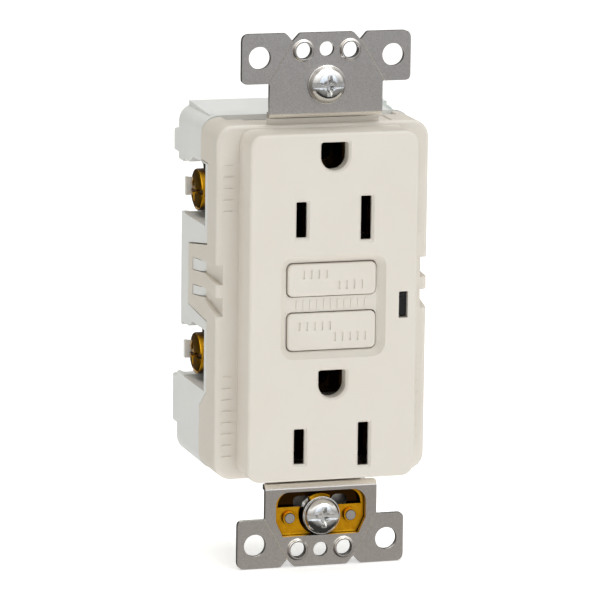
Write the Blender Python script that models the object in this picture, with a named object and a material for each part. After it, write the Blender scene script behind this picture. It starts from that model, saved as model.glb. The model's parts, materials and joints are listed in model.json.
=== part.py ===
"""Duplex ground-fault receptacle with a decorator face, as separate sub-parts.

Lengths are in millimetres and become metres in the mesh helpers. In the receptacle's local frame X
runs to the right of someone facing it, Y runs into the wall from the front of the mounting ears,
and Z runs up. Every sub-part hangs on one empty, which puts the middle of the bounding box at the
world's origin.
"""

import math

import bmesh
import bpy
from mathutils import Matrix, Vector

MM = 0.001
GAP = 0.3

# Standard distances: mounting screws, wall-plate screws, blade slots and ground pin.
MOUNT_SCREW_Z = 83.34 / 2
PLATE_SCREW_Z = 96.84 / 2
BLADE_X = 6.35
GROUND_ABOVE_BLADES = 11.9
OUTLET_Z = (16.98, -26.67)

# Face and case.
FACE_HALF = (16.6, 33.35)
FACE_FRONT = -6.4
FACE_RADIUS = 2.6
FACE_ROUNDING = 1.3
CASE_HALF_X = 20.95
COVER_HALF_Z = 34.1
CASE_RADIUS = 3.3
WALL = 1.5
SHOULDER_Y = 1.2
SKIRT_END_Y = 12.6
SKIRT_BAY_Y = 7.7
REAR_HALF = (20.85, 34.4)
REAR_FRONT_Y = 8.0
REAR_BACK_Y = 26.5
REAR_STEP_Y = 29.4
FOOT_Y = 32.2
INNER_X = 17.3
INNER_Z = 31.8
FACE_INSIDE_Y = -3.6
STEP_Z = (-17.6, 23.3)
FEET_Z = ((24.8, 29.3), (-28.8, -19.2))
FEET_INNER_X = 9.0

# Side tongues of the cover: edges at the skirt's step and at the tongue's end, and snap windows.
TONGUE_Y = 20.9
TONGUE_TOP = (10.4, 8.4)
TONGUE_BOTTOM = (-4.3, -3.3)
WINDOW_Y = (9.8, 18.0)
WINDOWS_Z = ((3.9, 6.6), (-0.9, 1.4))
BAY_STEP_TOP = 26.2
BAY_STEP_BOTTOM = -18.4
BAY_STEP_SLOPE = -0.7

# Strap.
STRAP_THICKNESS = 1.0
STRAP_HALF_Z = 51.55
EAR_HALF_X = 16.6
EAR_LOW_Z = 42.05
STRAP_HALF_X = 11.13
LEG_INSIDE_Z = 35.4
LEG_HALF_X = 9.5
WEB_Y = 5.2
BEND_RADIUS = 1.2
GROUND_SCREW = (17.2, 29.4)

# Buttons.
BUTTON_HALF_X = 8.7
TEST_Z = (2.15, 8.4)
RESET_Z = (-8.25, -1.1)
BUTTON_FRONT = -5.4
DISH_FLOOR_Y = -4.8
DISH_HALF = 10.1

# Terminals.
BAY_Z = (18.8, -13.3)
BAY_HALF_Z = 5.1
BAY_FLOOR_X = 13.9
BAY_BACK_Y = 25.4
POST_X = 20.3
SCREW_Y = 21.3
PLATE_FOOT_Y = (15.7, 16.7)

# Depths of the parts inside, from front to back.
BUS_Y = (10.6, 11.4)
CONTACT_ARM_Y = (11.7, 12.1)
CARRIER_Y = (12.4, 13.5)
LINE_BAR_Y = (12.5, 13.3)
LATCH_Y = (15.3, 16.1)
SOLENOID_Y = 17.6
BOARD_Y = (22.9, 24.4)

DEPTH = FOOT_Y - FACE_FRONT
STRAP_PLANE_Y = -DEPTH / 2 - FACE_FRONT


# ---------------------------------------------------------------- materials


def material(name, colour, roughness, metallic=0.0):
    made = bpy.data.materials.new(name)
    made.use_nodes = True
    shader = made.node_tree.nodes["Principled BSDF"]
    shader.inputs["Base Color"].default_value = (*colour, 1.0)
    shader.inputs["Roughness"].default_value = roughness
    shader.inputs["Metallic"].default_value = metallic
    made.diffuse_color = (*colour, 1.0)
    return made


def make_materials():
    return {
        "almond": material("almond_plastic", (0.72, 0.68, 0.60), 0.45),
        "white": material("white_plastic", (0.76, 0.77, 0.76), 0.5),
        "black": material("black_plastic", (0.02, 0.02, 0.02), 0.4),
        "steel": material("zinc_plated_steel", (0.40, 0.37, 0.34), 0.42, 1.0),
        "bright": material("nickel_plated_steel", (0.62, 0.62, 0.62), 0.18, 1.0),
        "brass": material("brass", (0.60, 0.38, 0.09), 0.3, 1.0),
        "green": material("green_dyed_steel", (0.02, 0.30, 0.10), 0.35, 1.0),
        "board": material("circuit_board_laminate", (0.03, 0.20, 0.08), 0.5),
        "copper": material("enamelled_copper", (0.45, 0.16, 0.06), 0.35, 1.0),
        "blue": material("blue_epoxy", (0.02, 0.08, 0.35), 0.35),
        "clear": material("smoked_lens", (0.03, 0.03, 0.03), 0.12),
    }


# ---------------------------------------------------------------- outlines


def circle(radius, centre=(0, 0), steps=24):
    turns = [2 * math.pi * i / steps for i in range(steps)]
    return [(centre[0] + radius * math.cos(t), centre[1] + radius * math.sin(t)) for t in turns]


def rounded(half_a, half_b, radius, centre=(0, 0), steps=4):
    """A rectangle with round corners, anticlockwise from its right side."""
    points = []
    corners = ((1, 1, 0), (-1, 1, 1), (-1, -1, 2), (1, -1, 3))
    for side_a, side_b, quarter in corners:
        for i in range(steps + 1):
            turn = math.pi / 2 * (quarter + i / steps)
            a = side_a * (half_a - radius) + radius * math.cos(turn)
            b = side_b * (half_b - radius) + radius * math.sin(turn)
            points.append((centre[0] + a, centre[1] + b))
    return points


def ground_opening(radius, centre_z, steps=10):
    """A ground pin's opening: round below, square above."""
    points = []
    for i in range(steps + 1):
        turn = math.pi + math.pi * i / steps
        points.append((radius * math.cos(turn), centre_z + radius * math.sin(turn)))
    return points + [(radius, centre_z + radius), (-radius, centre_z + radius)]


# ---------------------------------------------------------------- solid shapes


def placed(a, b, along, axis):
    """The point at (a, b) across an axis and at a distance along it."""
    order = {"X": (along, a, b), "Y": (a, along, b), "Z": (a, b, along)}
    return Vector(order[axis])


def loft(sections, axis="Y"):
    """A closed solid through (distance along the axis, outline) sections of equal point counts."""
    bm = bmesh.new()
    rings = [[bm.verts.new(placed(a, b, along, axis)) for a, b in outline] for along, outline in sections]
    for lower, upper in zip(rings, rings[1:]):
        for i in range(len(lower)):
            after = (i + 1) % len(lower)
            bm.faces.new((lower[i], lower[after], upper[after], upper[i]))
    bm.faces.new(rings[0])
    bm.faces.new(rings[-1])
    bmesh.ops.recalc_face_normals(bm, faces=bm.faces)
    return bm


def prism(outline, low, high, axis="Y"):
    return loft(((low, outline), (high, outline)), axis)


def box(x, y, z):
    return prism([(x[0], z[0]), (x[1], z[0]), (x[1], z[1]), (x[0], z[1])], y[0], y[1])


def rod(radius, low, high, centre=(0, 0), axis="Y", steps=24):
    return prism(circle(radius, centre, steps), low, high, axis)


def round_fronted(half, radius, front, back, rounding, steps=3):
    """A block with round corners whose front edge is rounded as well."""
    sections = []
    for i in range(steps + 1):
        turn = math.pi / 2 * i / steps
        inset = rounding * (1 - math.sin(turn))
        outline = rounded(half[0] - inset, half[1] - inset, radius - inset / 2)
        sections.append((front + rounding * (1 - math.cos(turn)), outline))
    sections.append((back, rounded(half[0], half[1], radius)))
    return loft(sections)


def pan_head(radius, height, base, direction, centre, axis):
    """A domed screw head standing from its base plane in the given direction along the axis."""
    shape = ((1.0, 0.0), (1.0, 0.3), (0.9, 0.62), (0.66, 0.88), (0.3, 1.0))
    sections = [
        (base + direction * height * rise, circle(radius * reach, centre)) for reach, rise in shape
    ]
    return loft(sections, axis)


def screw(centre, base, direction, head, shank, axis):
    """A head, given as (radius, height), on a shank, given as (radius, length), as two shapes."""
    tip = base - direction * shank[1]
    start = base + direction * head[1] / 2
    return pan_head(*head, base, direction, centre, axis), rod(shank[0], *sorted((tip, start)), centre, axis)


def coil_spring(radius, wire, low, high, centre, turns=6, steps=14, sides=6):
    """A round wire wound about an axis along Y."""
    bm = bmesh.new()
    rings = []
    for i in range(turns * steps + 1):
        turn = 2 * math.pi * i / steps
        along = low + wire + (high - low - 2 * wire) * i / (turns * steps)
        ring = []
        for side in range(sides):
            around = 2 * math.pi * side / sides
            reach = radius + wire * math.cos(around)
            at = (centre[0] + reach * math.cos(turn), centre[1] + reach * math.sin(turn))
            ring.append(bm.verts.new(placed(*at, along + wire * math.sin(around), "Y")))
        rings.append(ring)
    for lower, upper in zip(rings, rings[1:]):
        for side in range(sides):
            after = (side + 1) % sides
            bm.faces.new((lower[side], lower[after], upper[after], upper[side]))
    bm.faces.new(rings[0])
    bm.faces.new(rings[-1])
    bmesh.ops.recalc_face_normals(bm, faces=bm.faces)
    return bm


# ---------------------------------------------------------------- objects


class Assembly:
    """The receptacle's objects, all parented to one empty."""

    def __init__(self):
        self.scene = bpy.context.scene.collection
        self.materials = make_materials()
        self.frame = bpy.data.objects.new("gfci_outlet", None)
        self.frame.location = (0, STRAP_PLANE_Y * MM, 0)
        self.scene.objects.link(self.frame)

    def mesh_object(self, name, bm, collection, origin=(0, 0, 0)):
        """An object from a shape in local millimetres, with its own origin at the given point."""
        bmesh.ops.transform(bm, matrix=Matrix.Translation(-Vector(origin)), verts=bm.verts)
        bmesh.ops.scale(bm, vec=(MM, MM, MM), verts=bm.verts)
        mesh = bpy.data.meshes.new(name)
        bm.to_mesh(mesh)
        bm.free()
        made = bpy.data.objects.new(name, mesh)
        made.location = Vector(origin) * MM
        made.parent = self.frame
        collection.objects.link(made)
        return made

    def helpers(self, owner, suffix, operation, shapes):
        """Joins the shapes to their owner, or cuts them from it, with one Boolean."""
        group = bpy.data.collections.new(owner.name + suffix)
        group.hide_render = True
        self.scene.children.link(group)
        for number, shape in enumerate(shapes):
            helper = self.mesh_object(f"{owner.name}{suffix}_{number}", shape, group)
            helper.hide_render = True
            helper.display_type = "WIRE"
        boolean = owner.modifiers.new(suffix.strip("_"), "BOOLEAN")
        boolean.operation = operation
        boolean.operand_type = "COLLECTION"
        boolean.collection = group
        boolean.solver = "EXACT"

    def solid(self, name, look, base, joined=(), removed=(), origin=(0, 0, 0)):
        """One sub-part: a base shape, the shapes joined to it, then the shapes cut from it."""
        made = self.mesh_object(name, base, self.scene, origin)
        made.data.materials.append(self.materials[look])
        made.data.shade_smooth()
        made.data.set_sharp_from_angle(angle=math.radians(35))
        if joined:
            self.helpers(made, "_joined", "UNION", joined)
        if removed:
            self.helpers(made, "_removed", "DIFFERENCE", removed)
        return made


# ---------------------------------------------------------------- case


def face_openings():
    """Slots, ground openings, button dish and indicator window through the face."""
    through = (FACE_FRONT - 1, FACE_INSIDE_Y + 1)
    cuts = []
    for blades in OUTLET_Z:
        for x, half_height in ((-BLADE_X, 3.4), (BLADE_X, 4.2)):
            cuts.append(box((x - 1.1, x + 1.1), through, (blades - half_height, blades + half_height)))
        cuts.append(prism(ground_opening(2.7, blades + GROUND_ABOVE_BLADES), *through))
    cuts.append(prism(rounded(DISH_HALF, DISH_HALF - 0.2, 2.2), FACE_FRONT - 1, DISH_FLOOR_Y))
    for low, high in (TEST_Z, RESET_Z):
        outline = rounded(
            BUTTON_HALF_X + GAP, (high - low) / 2 + GAP, 1.2, (0, (low + high) / 2)
        )
        cuts.append(prism(outline, *through))
    cuts.append(box((12.9, 14.9), through, (-2.5, 2.5)))
    return cuts


def tongue_edge(ends, y):
    """The height of one of the tongue's two sloping edges at a depth."""
    share = (y - SKIRT_BAY_Y) / (TONGUE_Y - SKIRT_BAY_Y)
    return ends[0] + share * (ends[1] - ends[0])


def skirt_steps():
    """What is cut from the cover's side above and below the tongue, seen from the side."""
    start, end = SKIRT_BAY_Y, TONGUE_Y + 1
    upper = [(start, BAY_STEP_TOP), (start, TONGUE_TOP[0])]
    upper += [(end, tongue_edge(TONGUE_TOP, end)), (end, BAY_STEP_TOP)]
    lower = [(start, TONGUE_BOTTOM[0]), (start, BAY_STEP_BOTTOM)]
    lower += [(end, BAY_STEP_BOTTOM + BAY_STEP_SLOPE * (end - start))]
    lower.append((end, tongue_edge(TONGUE_BOTTOM, end)))
    return upper, lower


def front_cover(parts):
    """Face, shoulder, skirt and the two side tongues with their snap windows."""
    skirt = prism(rounded(CASE_HALF_X, COVER_HALF_Z, CASE_RADIUS), SHOULDER_Y, SKIRT_END_Y)
    joined = [round_fronted(FACE_HALF, FACE_RADIUS, FACE_FRONT, SHOULDER_Y + 0.9, FACE_ROUNDING)]
    removed = face_openings()
    removed.append(prism(rounded(15.0, 31.8, 1.5), FACE_INSIDE_Y, SHOULDER_Y + 2))
    removed.append(
        prism(rounded(CASE_HALF_X - WALL, COVER_HALF_Z - WALL, 2.0), SHOULDER_Y + WALL, SKIRT_END_Y + 1)
    )
    for side in (-1, 1):
        outer = sorted((side * (CASE_HALF_X - WALL), side * CASE_HALF_X))
        joined.append(box(outer, (SKIRT_BAY_Y - 2, TONGUE_Y), (-5.0, 12.0)))
        beyond = sorted((side * 14.0, side * (CASE_HALF_X + 1)))
        removed += [prism(outline, *beyond, "X") for outline in skirt_steps()]
        for low, high in WINDOWS_Z:
            removed.append(box(beyond, WINDOW_Y, (low, high)))
            channel = sorted((side * (CASE_HALF_X - 0.9), side * (CASE_HALF_X + 1)))
            removed.append(box(channel, (SHOULDER_Y - 1, SKIRT_BAY_Y), (low, high + 0.6)))
    for end in (-1, 1):
        beyond = sorted((end * 32.0, end * 36.0))
        removed.append(box((-14.5, 14.5), (9.5, SKIRT_END_Y + 1), beyond))
        removed.append(box((-LEG_HALF_X - GAP, LEG_HALF_X + GAP), (WEB_Y - GAP, 10.0), beyond))
    return parts.solid("front_cover", "almond", skirt, joined, removed)


def rear_interior():
    """The hollow of the rear housing, waisted between the terminal bays."""
    waist = BAY_FLOOR_X - WALL
    reach = BAY_HALF_Z + WALL
    side = [(INNER_X, -INNER_Z)]
    for centre in sorted(BAY_Z):
        side += [(INNER_X, centre - reach), (waist, centre - reach)]
        side += [(waist, centre + reach), (INNER_X, centre + reach)]
    side.append((INNER_X, INNER_Z))
    outline = side + [(-x, z) for x, z in reversed(side)]
    return prism(outline, REAR_FRONT_Y - 3, REAR_BACK_Y - WALL)


def rear_bays():
    """Four terminal bays, each with two wiring notches, a screw hole and a terminal slot."""
    cuts = []
    for side in (-1, 1):
        for centre in BAY_Z:
            open_x = sorted((side * BAY_FLOOR_X, side * (CASE_HALF_X + 1)))
            open_z = (centre - BAY_HALF_Z, centre + BAY_HALF_Z)
            cuts.append(box(open_x, (REAR_FRONT_Y + 1.6, BAY_BACK_Y), open_z))
            notch_x = sorted((side * 16.6, side * (CASE_HALF_X + 1)))
            for offset in (-3.35, 3.35):
                notch_z = (centre + offset - 1.6, centre + offset + 1.6)
                cuts.append(box(notch_x, (BAY_BACK_Y - 1, REAR_STEP_Y + 1), notch_z))
            post_x = sorted((side * POST_X, side * (CASE_HALF_X + 1)))
            cuts.append(box(post_x, (BAY_BACK_Y - 1, REAR_STEP_Y + 1), (centre - 3.4, centre + 3.4)))
            through = sorted((side * (BAY_FLOOR_X - WALL - 1), side * (BAY_FLOOR_X + 1)))
            cuts.append(rod(2.5, *through, (SCREW_Y, centre), "X", 16))
            slot_y = (PLATE_FOOT_Y[0] - GAP, PLATE_FOOT_Y[1] + GAP)
            cuts.append(box(through, slot_y, (centre - 2.8, centre + 2.8)))
    return cuts


def tongue_relief(x):
    """The recess for the cover's tongue, around the two hooks that snap into its windows."""
    low, high = REAR_FRONT_Y - 1, TONGUE_Y + GAP
    hooks_y = (WINDOW_Y[0] + 1.3, WINDOW_Y[1] - GAP)
    bottoms = [tongue_edge(TONGUE_BOTTOM, y) - GAP for y in (low, *hooks_y, high)]
    tops = [tongue_edge(TONGUE_TOP, y) + GAP for y in (low, *hooks_y, high)]
    edge = 0.15
    cuts = []
    for start, end, first in ((low, hooks_y[0], 0), (hooks_y[1], high, 2)):
        outline = [(start, bottoms[first]), (end, bottoms[first + 1])]
        outline += [(end, tops[first + 1]), (start, tops[first])]
        cuts.append(prism(outline, *x, "X"))
    start, end = hooks_y[0] - 0.1, hooks_y[1] + 0.1
    high_hook = WINDOWS_Z[0][1] - edge
    low_hook = WINDOWS_Z[1][0] + edge
    above = [(start, high_hook), (end, high_hook), (end, tops[2]), (start, tops[1])]
    below = [(start, bottoms[1]), (end, bottoms[2]), (end, low_hook), (start, low_hook)]
    cuts += [prism(above, *x, "X"), prism(below, *x, "X")]
    cuts.append(box(x, (start, end), (WINDOWS_Z[1][1] - edge, WINDOWS_Z[0][0] + edge)))
    return cuts


def side_band():
    """The part of the housing that fills the cover's steps, seen from the side."""
    low, high = REAR_FRONT_Y, SKIRT_END_Y + 1
    top = BAY_STEP_TOP - GAP
    start = BAY_STEP_BOTTOM + BAY_STEP_SLOPE * (low - SKIRT_BAY_Y) + GAP * 1.25
    return [(low, top), (high, top), (high, start + BAY_STEP_SLOPE * (high - low)), (low, start)]


def rear_housing(parts):
    """The deep rear shell, with its front rim, snap hooks, steps and feet."""
    shell = prism(rounded(*REAR_HALF, CASE_RADIUS), SKIRT_END_Y + 0.2, REAR_STEP_Y)
    rim_x = CASE_HALF_X - WALL - GAP
    joined = [prism(rounded(rim_x, 32.2, 2.0), 9.8, SKIRT_END_Y + 1)]
    joined.append(prism(side_band(), -REAR_HALF[0], REAR_HALF[0], "X"))
    for end in (-1, 1):
        outer_z = sorted((end * 31.0, end * REAR_HALF[1]))
        joined.append(box((-14.2, 14.2), (9.8, SKIRT_END_Y + 1), outer_z))
        joined.append(box((-LEG_HALF_X, LEG_HALF_X), (WEB_Y + STRAP_THICKNESS + GAP, 11.0), outer_z))
    for foot in FEET_Z:
        for side in (-1, 1):
            across = sorted((side * FEET_INNER_X, side * REAR_HALF[0]))
            joined.append(box(across, (REAR_STEP_Y - 1, FOOT_Y), foot))
    beyond = (-REAR_HALF[0] - 1, REAR_HALF[0] + 1)
    removed = [rear_interior(), box(beyond, (REAR_BACK_Y, REAR_STEP_Y + 1), STEP_Z)]
    for low, high in ((24.9, 30.2), (-29.7, -19.9)):
        removed.append(box((-15.5, 15.5), (REAR_BACK_Y - 3, REAR_STEP_Y - WALL), (low, high)))
    removed += rear_bays()
    for side in (-1, 1):
        removed += tongue_relief(sorted((side * rim_x, side * (CASE_HALF_X + 1))))
    screw_y = (GROUND_SCREW[0] - 4.1, GROUND_SCREW[0] + 4.4)
    removed.append(box((16.7, CASE_HALF_X + 1), screw_y, (25.3, REAR_HALF[1] + 1)))
    return parts.solid("rear_housing", "white", shell, joined, removed)


def middle_frame(parts):
    """The insulating plate between the strap and the live parts."""
    y = (WEB_Y + STRAP_THICKNESS + GAP, REAR_FRONT_Y - GAP)
    deep = (y[0] - 1, y[1] + 1)
    removed = []
    for blades in OUTLET_Z:
        for side in (-1, 1):
            removed.append(box(sorted((side * 4.3, side * 8.4)), deep, (blades - 4.4, blades + 4.4)))
        removed.append(rod(3.0, *deep, (0, blades + GROUND_ABOVE_BLADES)))
    removed.append(rod(1.3, *deep, (0, sum(RESET_Z) / 2), steps=16))
    removed.append(box((-1.7, 1.7), deep, (3.9, 6.5)))
    removed.append(box((12.6, 15.2), deep, (-2.8, 2.8)))
    removed.append(box((15.0, 20.0), deep, (25.6, 33.0)))
    plate = prism(rounded(CASE_HALF_X - WALL - 0.6, INNER_Z, 1.5), *y)
    return parts.solid("middle_frame", "black", plate, (), removed)


# ---------------------------------------------------------------- strap and grounding


def ear_outline(end):
    """The front outline of one end of the strap, with plaster ears and two V notches."""
    half = [
        (STRAP_HALF_X, LEG_INSIDE_Z + BEND_RADIUS),
        (STRAP_HALF_X, EAR_LOW_Z),
        (EAR_HALF_X - 0.8, EAR_LOW_Z),
        (EAR_HALF_X, EAR_LOW_Z + 0.8),
        (EAR_HALF_X, STRAP_HALF_Z - 1.2),
        (EAR_HALF_X - 1.2, STRAP_HALF_Z),
        (8.0, STRAP_HALF_Z),
        (6.65, STRAP_HALF_Z - 1.5),
        (5.25, STRAP_HALF_Z),
    ]
    outline = half + [(-x, z) for x, z in reversed(half)]
    return [(x, end * z) for x, z in outline]


def bend(end):
    """The bend from the ears' plane into the leg, as a profile swept across the strap."""
    inner = BEND_RADIUS - STRAP_THICKNESS
    centre = (BEND_RADIUS, LEG_INSIDE_Z + BEND_RADIUS)
    turns = [math.pi + math.pi / 2 * i / 4 for i in range(5)]
    outer_arc, inner_arc = (
        [(centre[0] + radius * math.cos(t), centre[1] + radius * math.sin(t)) for t in turns]
        for radius in (BEND_RADIUS, inner)
    )
    profile = [(0, centre[1] + 0.5)] + outer_arc + [(centre[0] + 0.5, LEG_INSIDE_Z)]
    profile += [(centre[0] + 0.5, LEG_INSIDE_Z + STRAP_THICKNESS)] + inner_arc[::-1]
    profile += [(STRAP_THICKNESS, centre[1] + 0.5)]
    return prism([(y, end * z) for y, z in profile], -STRAP_HALF_X, STRAP_HALF_X, "X")


def strap_web():
    """The part of the strap inside the case, and the openings for contacts and buttons."""
    web = box((-STRAP_HALF_X, STRAP_HALF_X), (WEB_Y, WEB_Y + STRAP_THICKNESS), (-31.5, 31.5))
    deep = (WEB_Y - 1, WEB_Y + STRAP_THICKNESS + 1)
    cuts = [box((-9.3, 9.3), deep, (-9.6, 22.8)), box((-9.3, 9.3), deep, (-31.6, -21.6))]
    cuts += [rod(3.0, *deep, (0, blades + GROUND_ABOVE_BLADES)) for blades in OUTLET_Z]
    return web, cuts


def mounting_strap(parts):
    """One steel strip: ears in front, legs back over the case, web inside, ground tab at the right."""
    web, removed = strap_web()
    y = (0, STRAP_THICKNESS)
    deep = (-3, 3)
    leg_x = (-LEG_HALF_X, LEG_HALF_X)
    leg_end = LEG_INSIDE_Z + STRAP_THICKNESS
    joined = [box(leg_x, (WEB_Y, WEB_Y + STRAP_THICKNESS), (-leg_end, leg_end))]
    for end in (-1, 1):
        joined += [prism(ear_outline(end), *y), bend(end)]
        joined.append(box(leg_x, (BEND_RADIUS, WEB_Y + 0.5), sorted((end * LEG_INSIDE_Z, end * leg_end))))
        for side in (-1, 1):
            collar = (side * 4.6, end * 48.2)
            joined.append(rod(1.95, -0.5, 0.5, collar, steps=16))
            removed.append(rod(1.6, *deep, collar, steps=12))
            removed.append(rod(2.15, *deep, (side * 13.13, end * 47.0), steps=20))
        removed.append(rod(1.45, *deep, (0, end * PLATE_SCREW_Z), steps=14))
    removed.append(prism(rounded(2.9, 2.2, 2.1, (0, MOUNT_SCREW_Z)), *deep))
    window = [(9.0, -39.2), (8.2, -37.5), (6.4, -36.8), (-6.4, -36.8), (-8.2, -37.5), (-9.0, -39.2)]
    window += [(-9.0, -42.6), (-7.6, -45.6), (7.6, -45.6), (9.0, -42.6)]
    removed.append(prism(window, *deep))
    joined.append(box((STRAP_HALF_X - 2, 16.4), (WEB_Y, WEB_Y + STRAP_THICKNESS), (26.6, 31.4)))
    joined.append(box((15.4, 16.4), (WEB_Y, GROUND_SCREW[0] + 3.6), (26.6, 31.4)))
    removed.append(rod(2.3, 14.0, 18.0, GROUND_SCREW, "X", 16))
    return parts.solid("mounting_strap", "steel", web, joined, removed)


def ground_clip(parts):
    """The brass self-grounding clip behind the lower window, riveted to its backing plate."""
    z = -MOUNT_SCREW_Z
    front = box((-10.0, 10.0), (1.3, 1.9), (-46.6, -40.2))
    joined = [box((-10.0, 10.0), (1.3, 4.9), (-40.8, -40.2)), box((-8.6, 8.6), (4.3, 4.9), (-40.8, -36.4))]
    removed = [rod(2.6, -1, 8, (0, z))]
    for side in (-1, 1):
        removed.append(rod(1.25, 0, 3, (side * 6.1, -42.1), steps=14))
        removed.append(prism(rounded(1.5, 0.95, 0.9, (side * 4.2, -38.6)), 3.5, 6))
    return parts.solid("ground_clip", "brass", front, joined, removed)


def clip_backing(parts):
    """The steel plate behind the clip, which carries the clip's two rivets."""
    plate = box((-9.4, 9.4), (5.2, 6.0), (-46.2, -36.4))
    removed = [rod(2.6, 4, 8, (0, -MOUNT_SCREW_Z))]
    parts.solid("clip_backing_plate", "steel", plate, (), removed)
    for side, word in ((-1, "left"), (1, "right")):
        shank = rod(0.95, 0.3, 4.9, (side * 6.1, -42.1), steps=14)
        parts.solid(f"clip_rivet_{word}", "steel", shank)


def mounting_screws(parts):
    """Two long screws held in the strap by washers, which slide with them."""
    for end, word in ((1, "upper"), (-1, "lower")):
        centre = (0, end * MOUNT_SCREW_Z)
        head_base = -0.1
        head, shank = screw(centre, head_base, -1, (3.7, 2.3), (1.6, 20.0), "Y")
        slot = box((-3.0, 3.0), (-3.0, -1.5), (centre[1] - 0.45, centre[1] + 0.45))
        cross = box((-0.45, 0.45), (-3.0, -1.3), (centre[1] - 1.8, centre[1] + 1.8))
        origin = (0, 0, centre[1])
        parts.solid(f"mounting_screw_{word}", "bright", head, [shank], [slot, cross], origin)
        low = 3.5 if end > 0 else 8.0
        washer = rod(3.1, low, low + 0.8, centre)
        bore = rod(1.66, low - 1, low + 2, centre)
        parts.solid(f"screw_retainer_{word}", "black", washer, (), [bore], (0, low, centre[1]))


def ground_contacts(parts):
    """Two-leaf contacts for the ground pins, on flanges in front of the strap's web."""
    for blades, word in zip(OUTLET_Z, ("upper", "lower")):
        z = blades + GROUND_ABOVE_BLADES
        flange = box((-5.5, 5.5), (4.2, 4.9), (z - 3.8, z + 2.9))
        leaves = [
            box(sorted((side * 2.45, side * 3.05)), (-2.9, 4.6), (z - 2.2, z + 2.2)) for side in (-1, 1)
        ]
        hole = rod(2.4, 3, 6, (0, z))
        parts.solid(f"ground_contact_{word}", "brass", flange, leaves, [hole])


def ground_screw(parts):
    """The green grounding screw on the strap's tab."""
    centre = GROUND_SCREW
    head, shank = screw(centre, 16.7, 1, (3.9, 2.1), (2.0, 6.0), "X")
    slot = box((17.9, 20.0), (centre[0] - 4.5, centre[0] + 4.5), (centre[1] - 0.5, centre[1] + 0.5))
    parts.solid("ground_screw", "green", head, [shank], [slot], (16.7, *centre))


# ---------------------------------------------------------------- live parts


def terminals(parts):
    """Plate, pressure plate and screw in each of the four bays."""
    rows = zip(BAY_Z, ("load", "line"))
    for z, row in rows:
        for side, pole, look in ((-1, "hot", "brass"), (1, "neutral", "bright")):
            def across(low, high):
                return sorted((side * low, side * high))

            hole = rod(2.35, *across(13.0, 18.0), (SCREW_Y, z), "X", 16)
            plate = box(across(14.9, 15.9), (PLATE_FOOT_Y[0], BAY_BACK_Y - GAP), (z - 4.6, z + 4.6))
            foot = box(across(10.5, 15.5), PLATE_FOOT_Y, (z - 2.4, z + 2.4))
            parts.solid(f"terminal_plate_{row}_{pole}", look, plate, [foot], [hole])
            origin = (side * 16.1, SCREW_Y, z)
            hole = rod(2.2, *across(15.0, 18.0), (SCREW_Y, z), "X", 16)
            clamp_y = (PLATE_FOOT_Y[1] + GAP, BAY_BACK_Y - GAP)
            clamp = box(across(16.1, 16.9), clamp_y, (z - 4.3, z + 4.7))
            parts.solid(f"clamp_plate_{row}_{pole}", look, clamp, (), [hole], origin)
            head, shank = screw((SCREW_Y, z), side * 17.0, side, (3.8, 2.6), (2.0, 4.8), "X")
            slot = box(across(18.6, 20.5), (SCREW_Y - 4.5, SCREW_Y + 4.5), (z - 0.5, z + 0.5))
            origin = (side * 17.0, SCREW_Y, z)
            parts.solid(f"terminal_screw_{row}_{pole}", look, head, [shank], [slot], origin)


def blade_buses(parts):
    """A strip for each pole, with two leaves for each blade and a leg to the load terminal."""
    for side, pole, half_height in ((-1, "hot", 3.0), (1, "neutral", 3.6)):
        strip = box(sorted((side * 4.6, side * 8.6)), BUS_Y, (-30.3, 20.6))
        joined = []
        for blades in OUTLET_Z:
            for low, high in ((4.85, 5.4), (7.3, 7.85)):
                reach = (blades - half_height, blades + half_height)
                joined.append(box(sorted((side * low, side * high)), (-3.2, BUS_Y[0] + 0.4), reach))
        joined.append(box(sorted((side * 8.0, side * 10.2)), BUS_Y, (17.4, 20.4)))
        joined.append(box(sorted((side * 9.4, side * 10.2)), (BUS_Y[0], PLATE_FOOT_Y[1]), (17.4, 20.4)))
        parts.solid(f"{pole}_bus", "brass", strip, joined)


def line_bars(parts):
    """The conductors that run through the sensing transformer to the moving contacts."""
    for side, pole in ((-1, "hot"), (1, "neutral")):
        bar = box(sorted((side * 1.0, side * 2.2)), (LINE_BAR_Y[0], BOARD_Y[0] - 0.4), (16.0, 18.0))
        joined = [
            box(sorted((side * 1.0, side * 2.2)), LINE_BAR_Y, (9.8, 17.0)),
            box(sorted((side * 1.0, side * 8.0)), LINE_BAR_Y, (9.8, 11.2)),
        ]
        parts.solid(f"{pole}_line_bar", "brass", bar, joined)


def moving_contacts(parts):
    """The carrier behind the buses and the two contact arms that it moves."""
    z = sum(RESET_Z) / 2
    block = box((-9.0, 9.0), CARRIER_Y, (-8.4, 0.4))
    bore = rod(1.3, CARRIER_Y[0] - 2, CARRIER_Y[1] + 2, (0, z), steps=16)
    parts.solid("contact_carrier", "black", block, (), [bore], (0, CARRIER_Y[0], z))
    for side, pole in ((-1, "hot"), (1, "neutral")):
        arm = box(sorted((side * 5.2, side * 8.2)), CONTACT_ARM_Y, (-7.6, 9.0))
        parts.solid(f"{pole}_contact_arm", "brass", arm, (), (), (0, CONTACT_ARM_Y[0], z))


# ---------------------------------------------------------------- buttons and trip mechanism


def button_cap(z, flange_y):
    """A cap with a retaining flange behind the face."""
    centre = (0, (z[0] + z[1]) / 2)
    half = (BUTTON_HALF_X, (z[1] - z[0]) / 2)
    edge = 0.25
    front = (
        (BUTTON_FRONT, rounded(half[0] - edge, half[1] - edge, 0.8, centre)),
        (BUTTON_FRONT + edge, rounded(*half, 1.0, centre)),
        (flange_y[0] + 0.3, rounded(*half, 1.0, centre)),
    )
    flange = prism(rounded(half[0] + 0.8, half[1], 1.0, centre), *flange_y)
    return loft(front), flange


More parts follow.
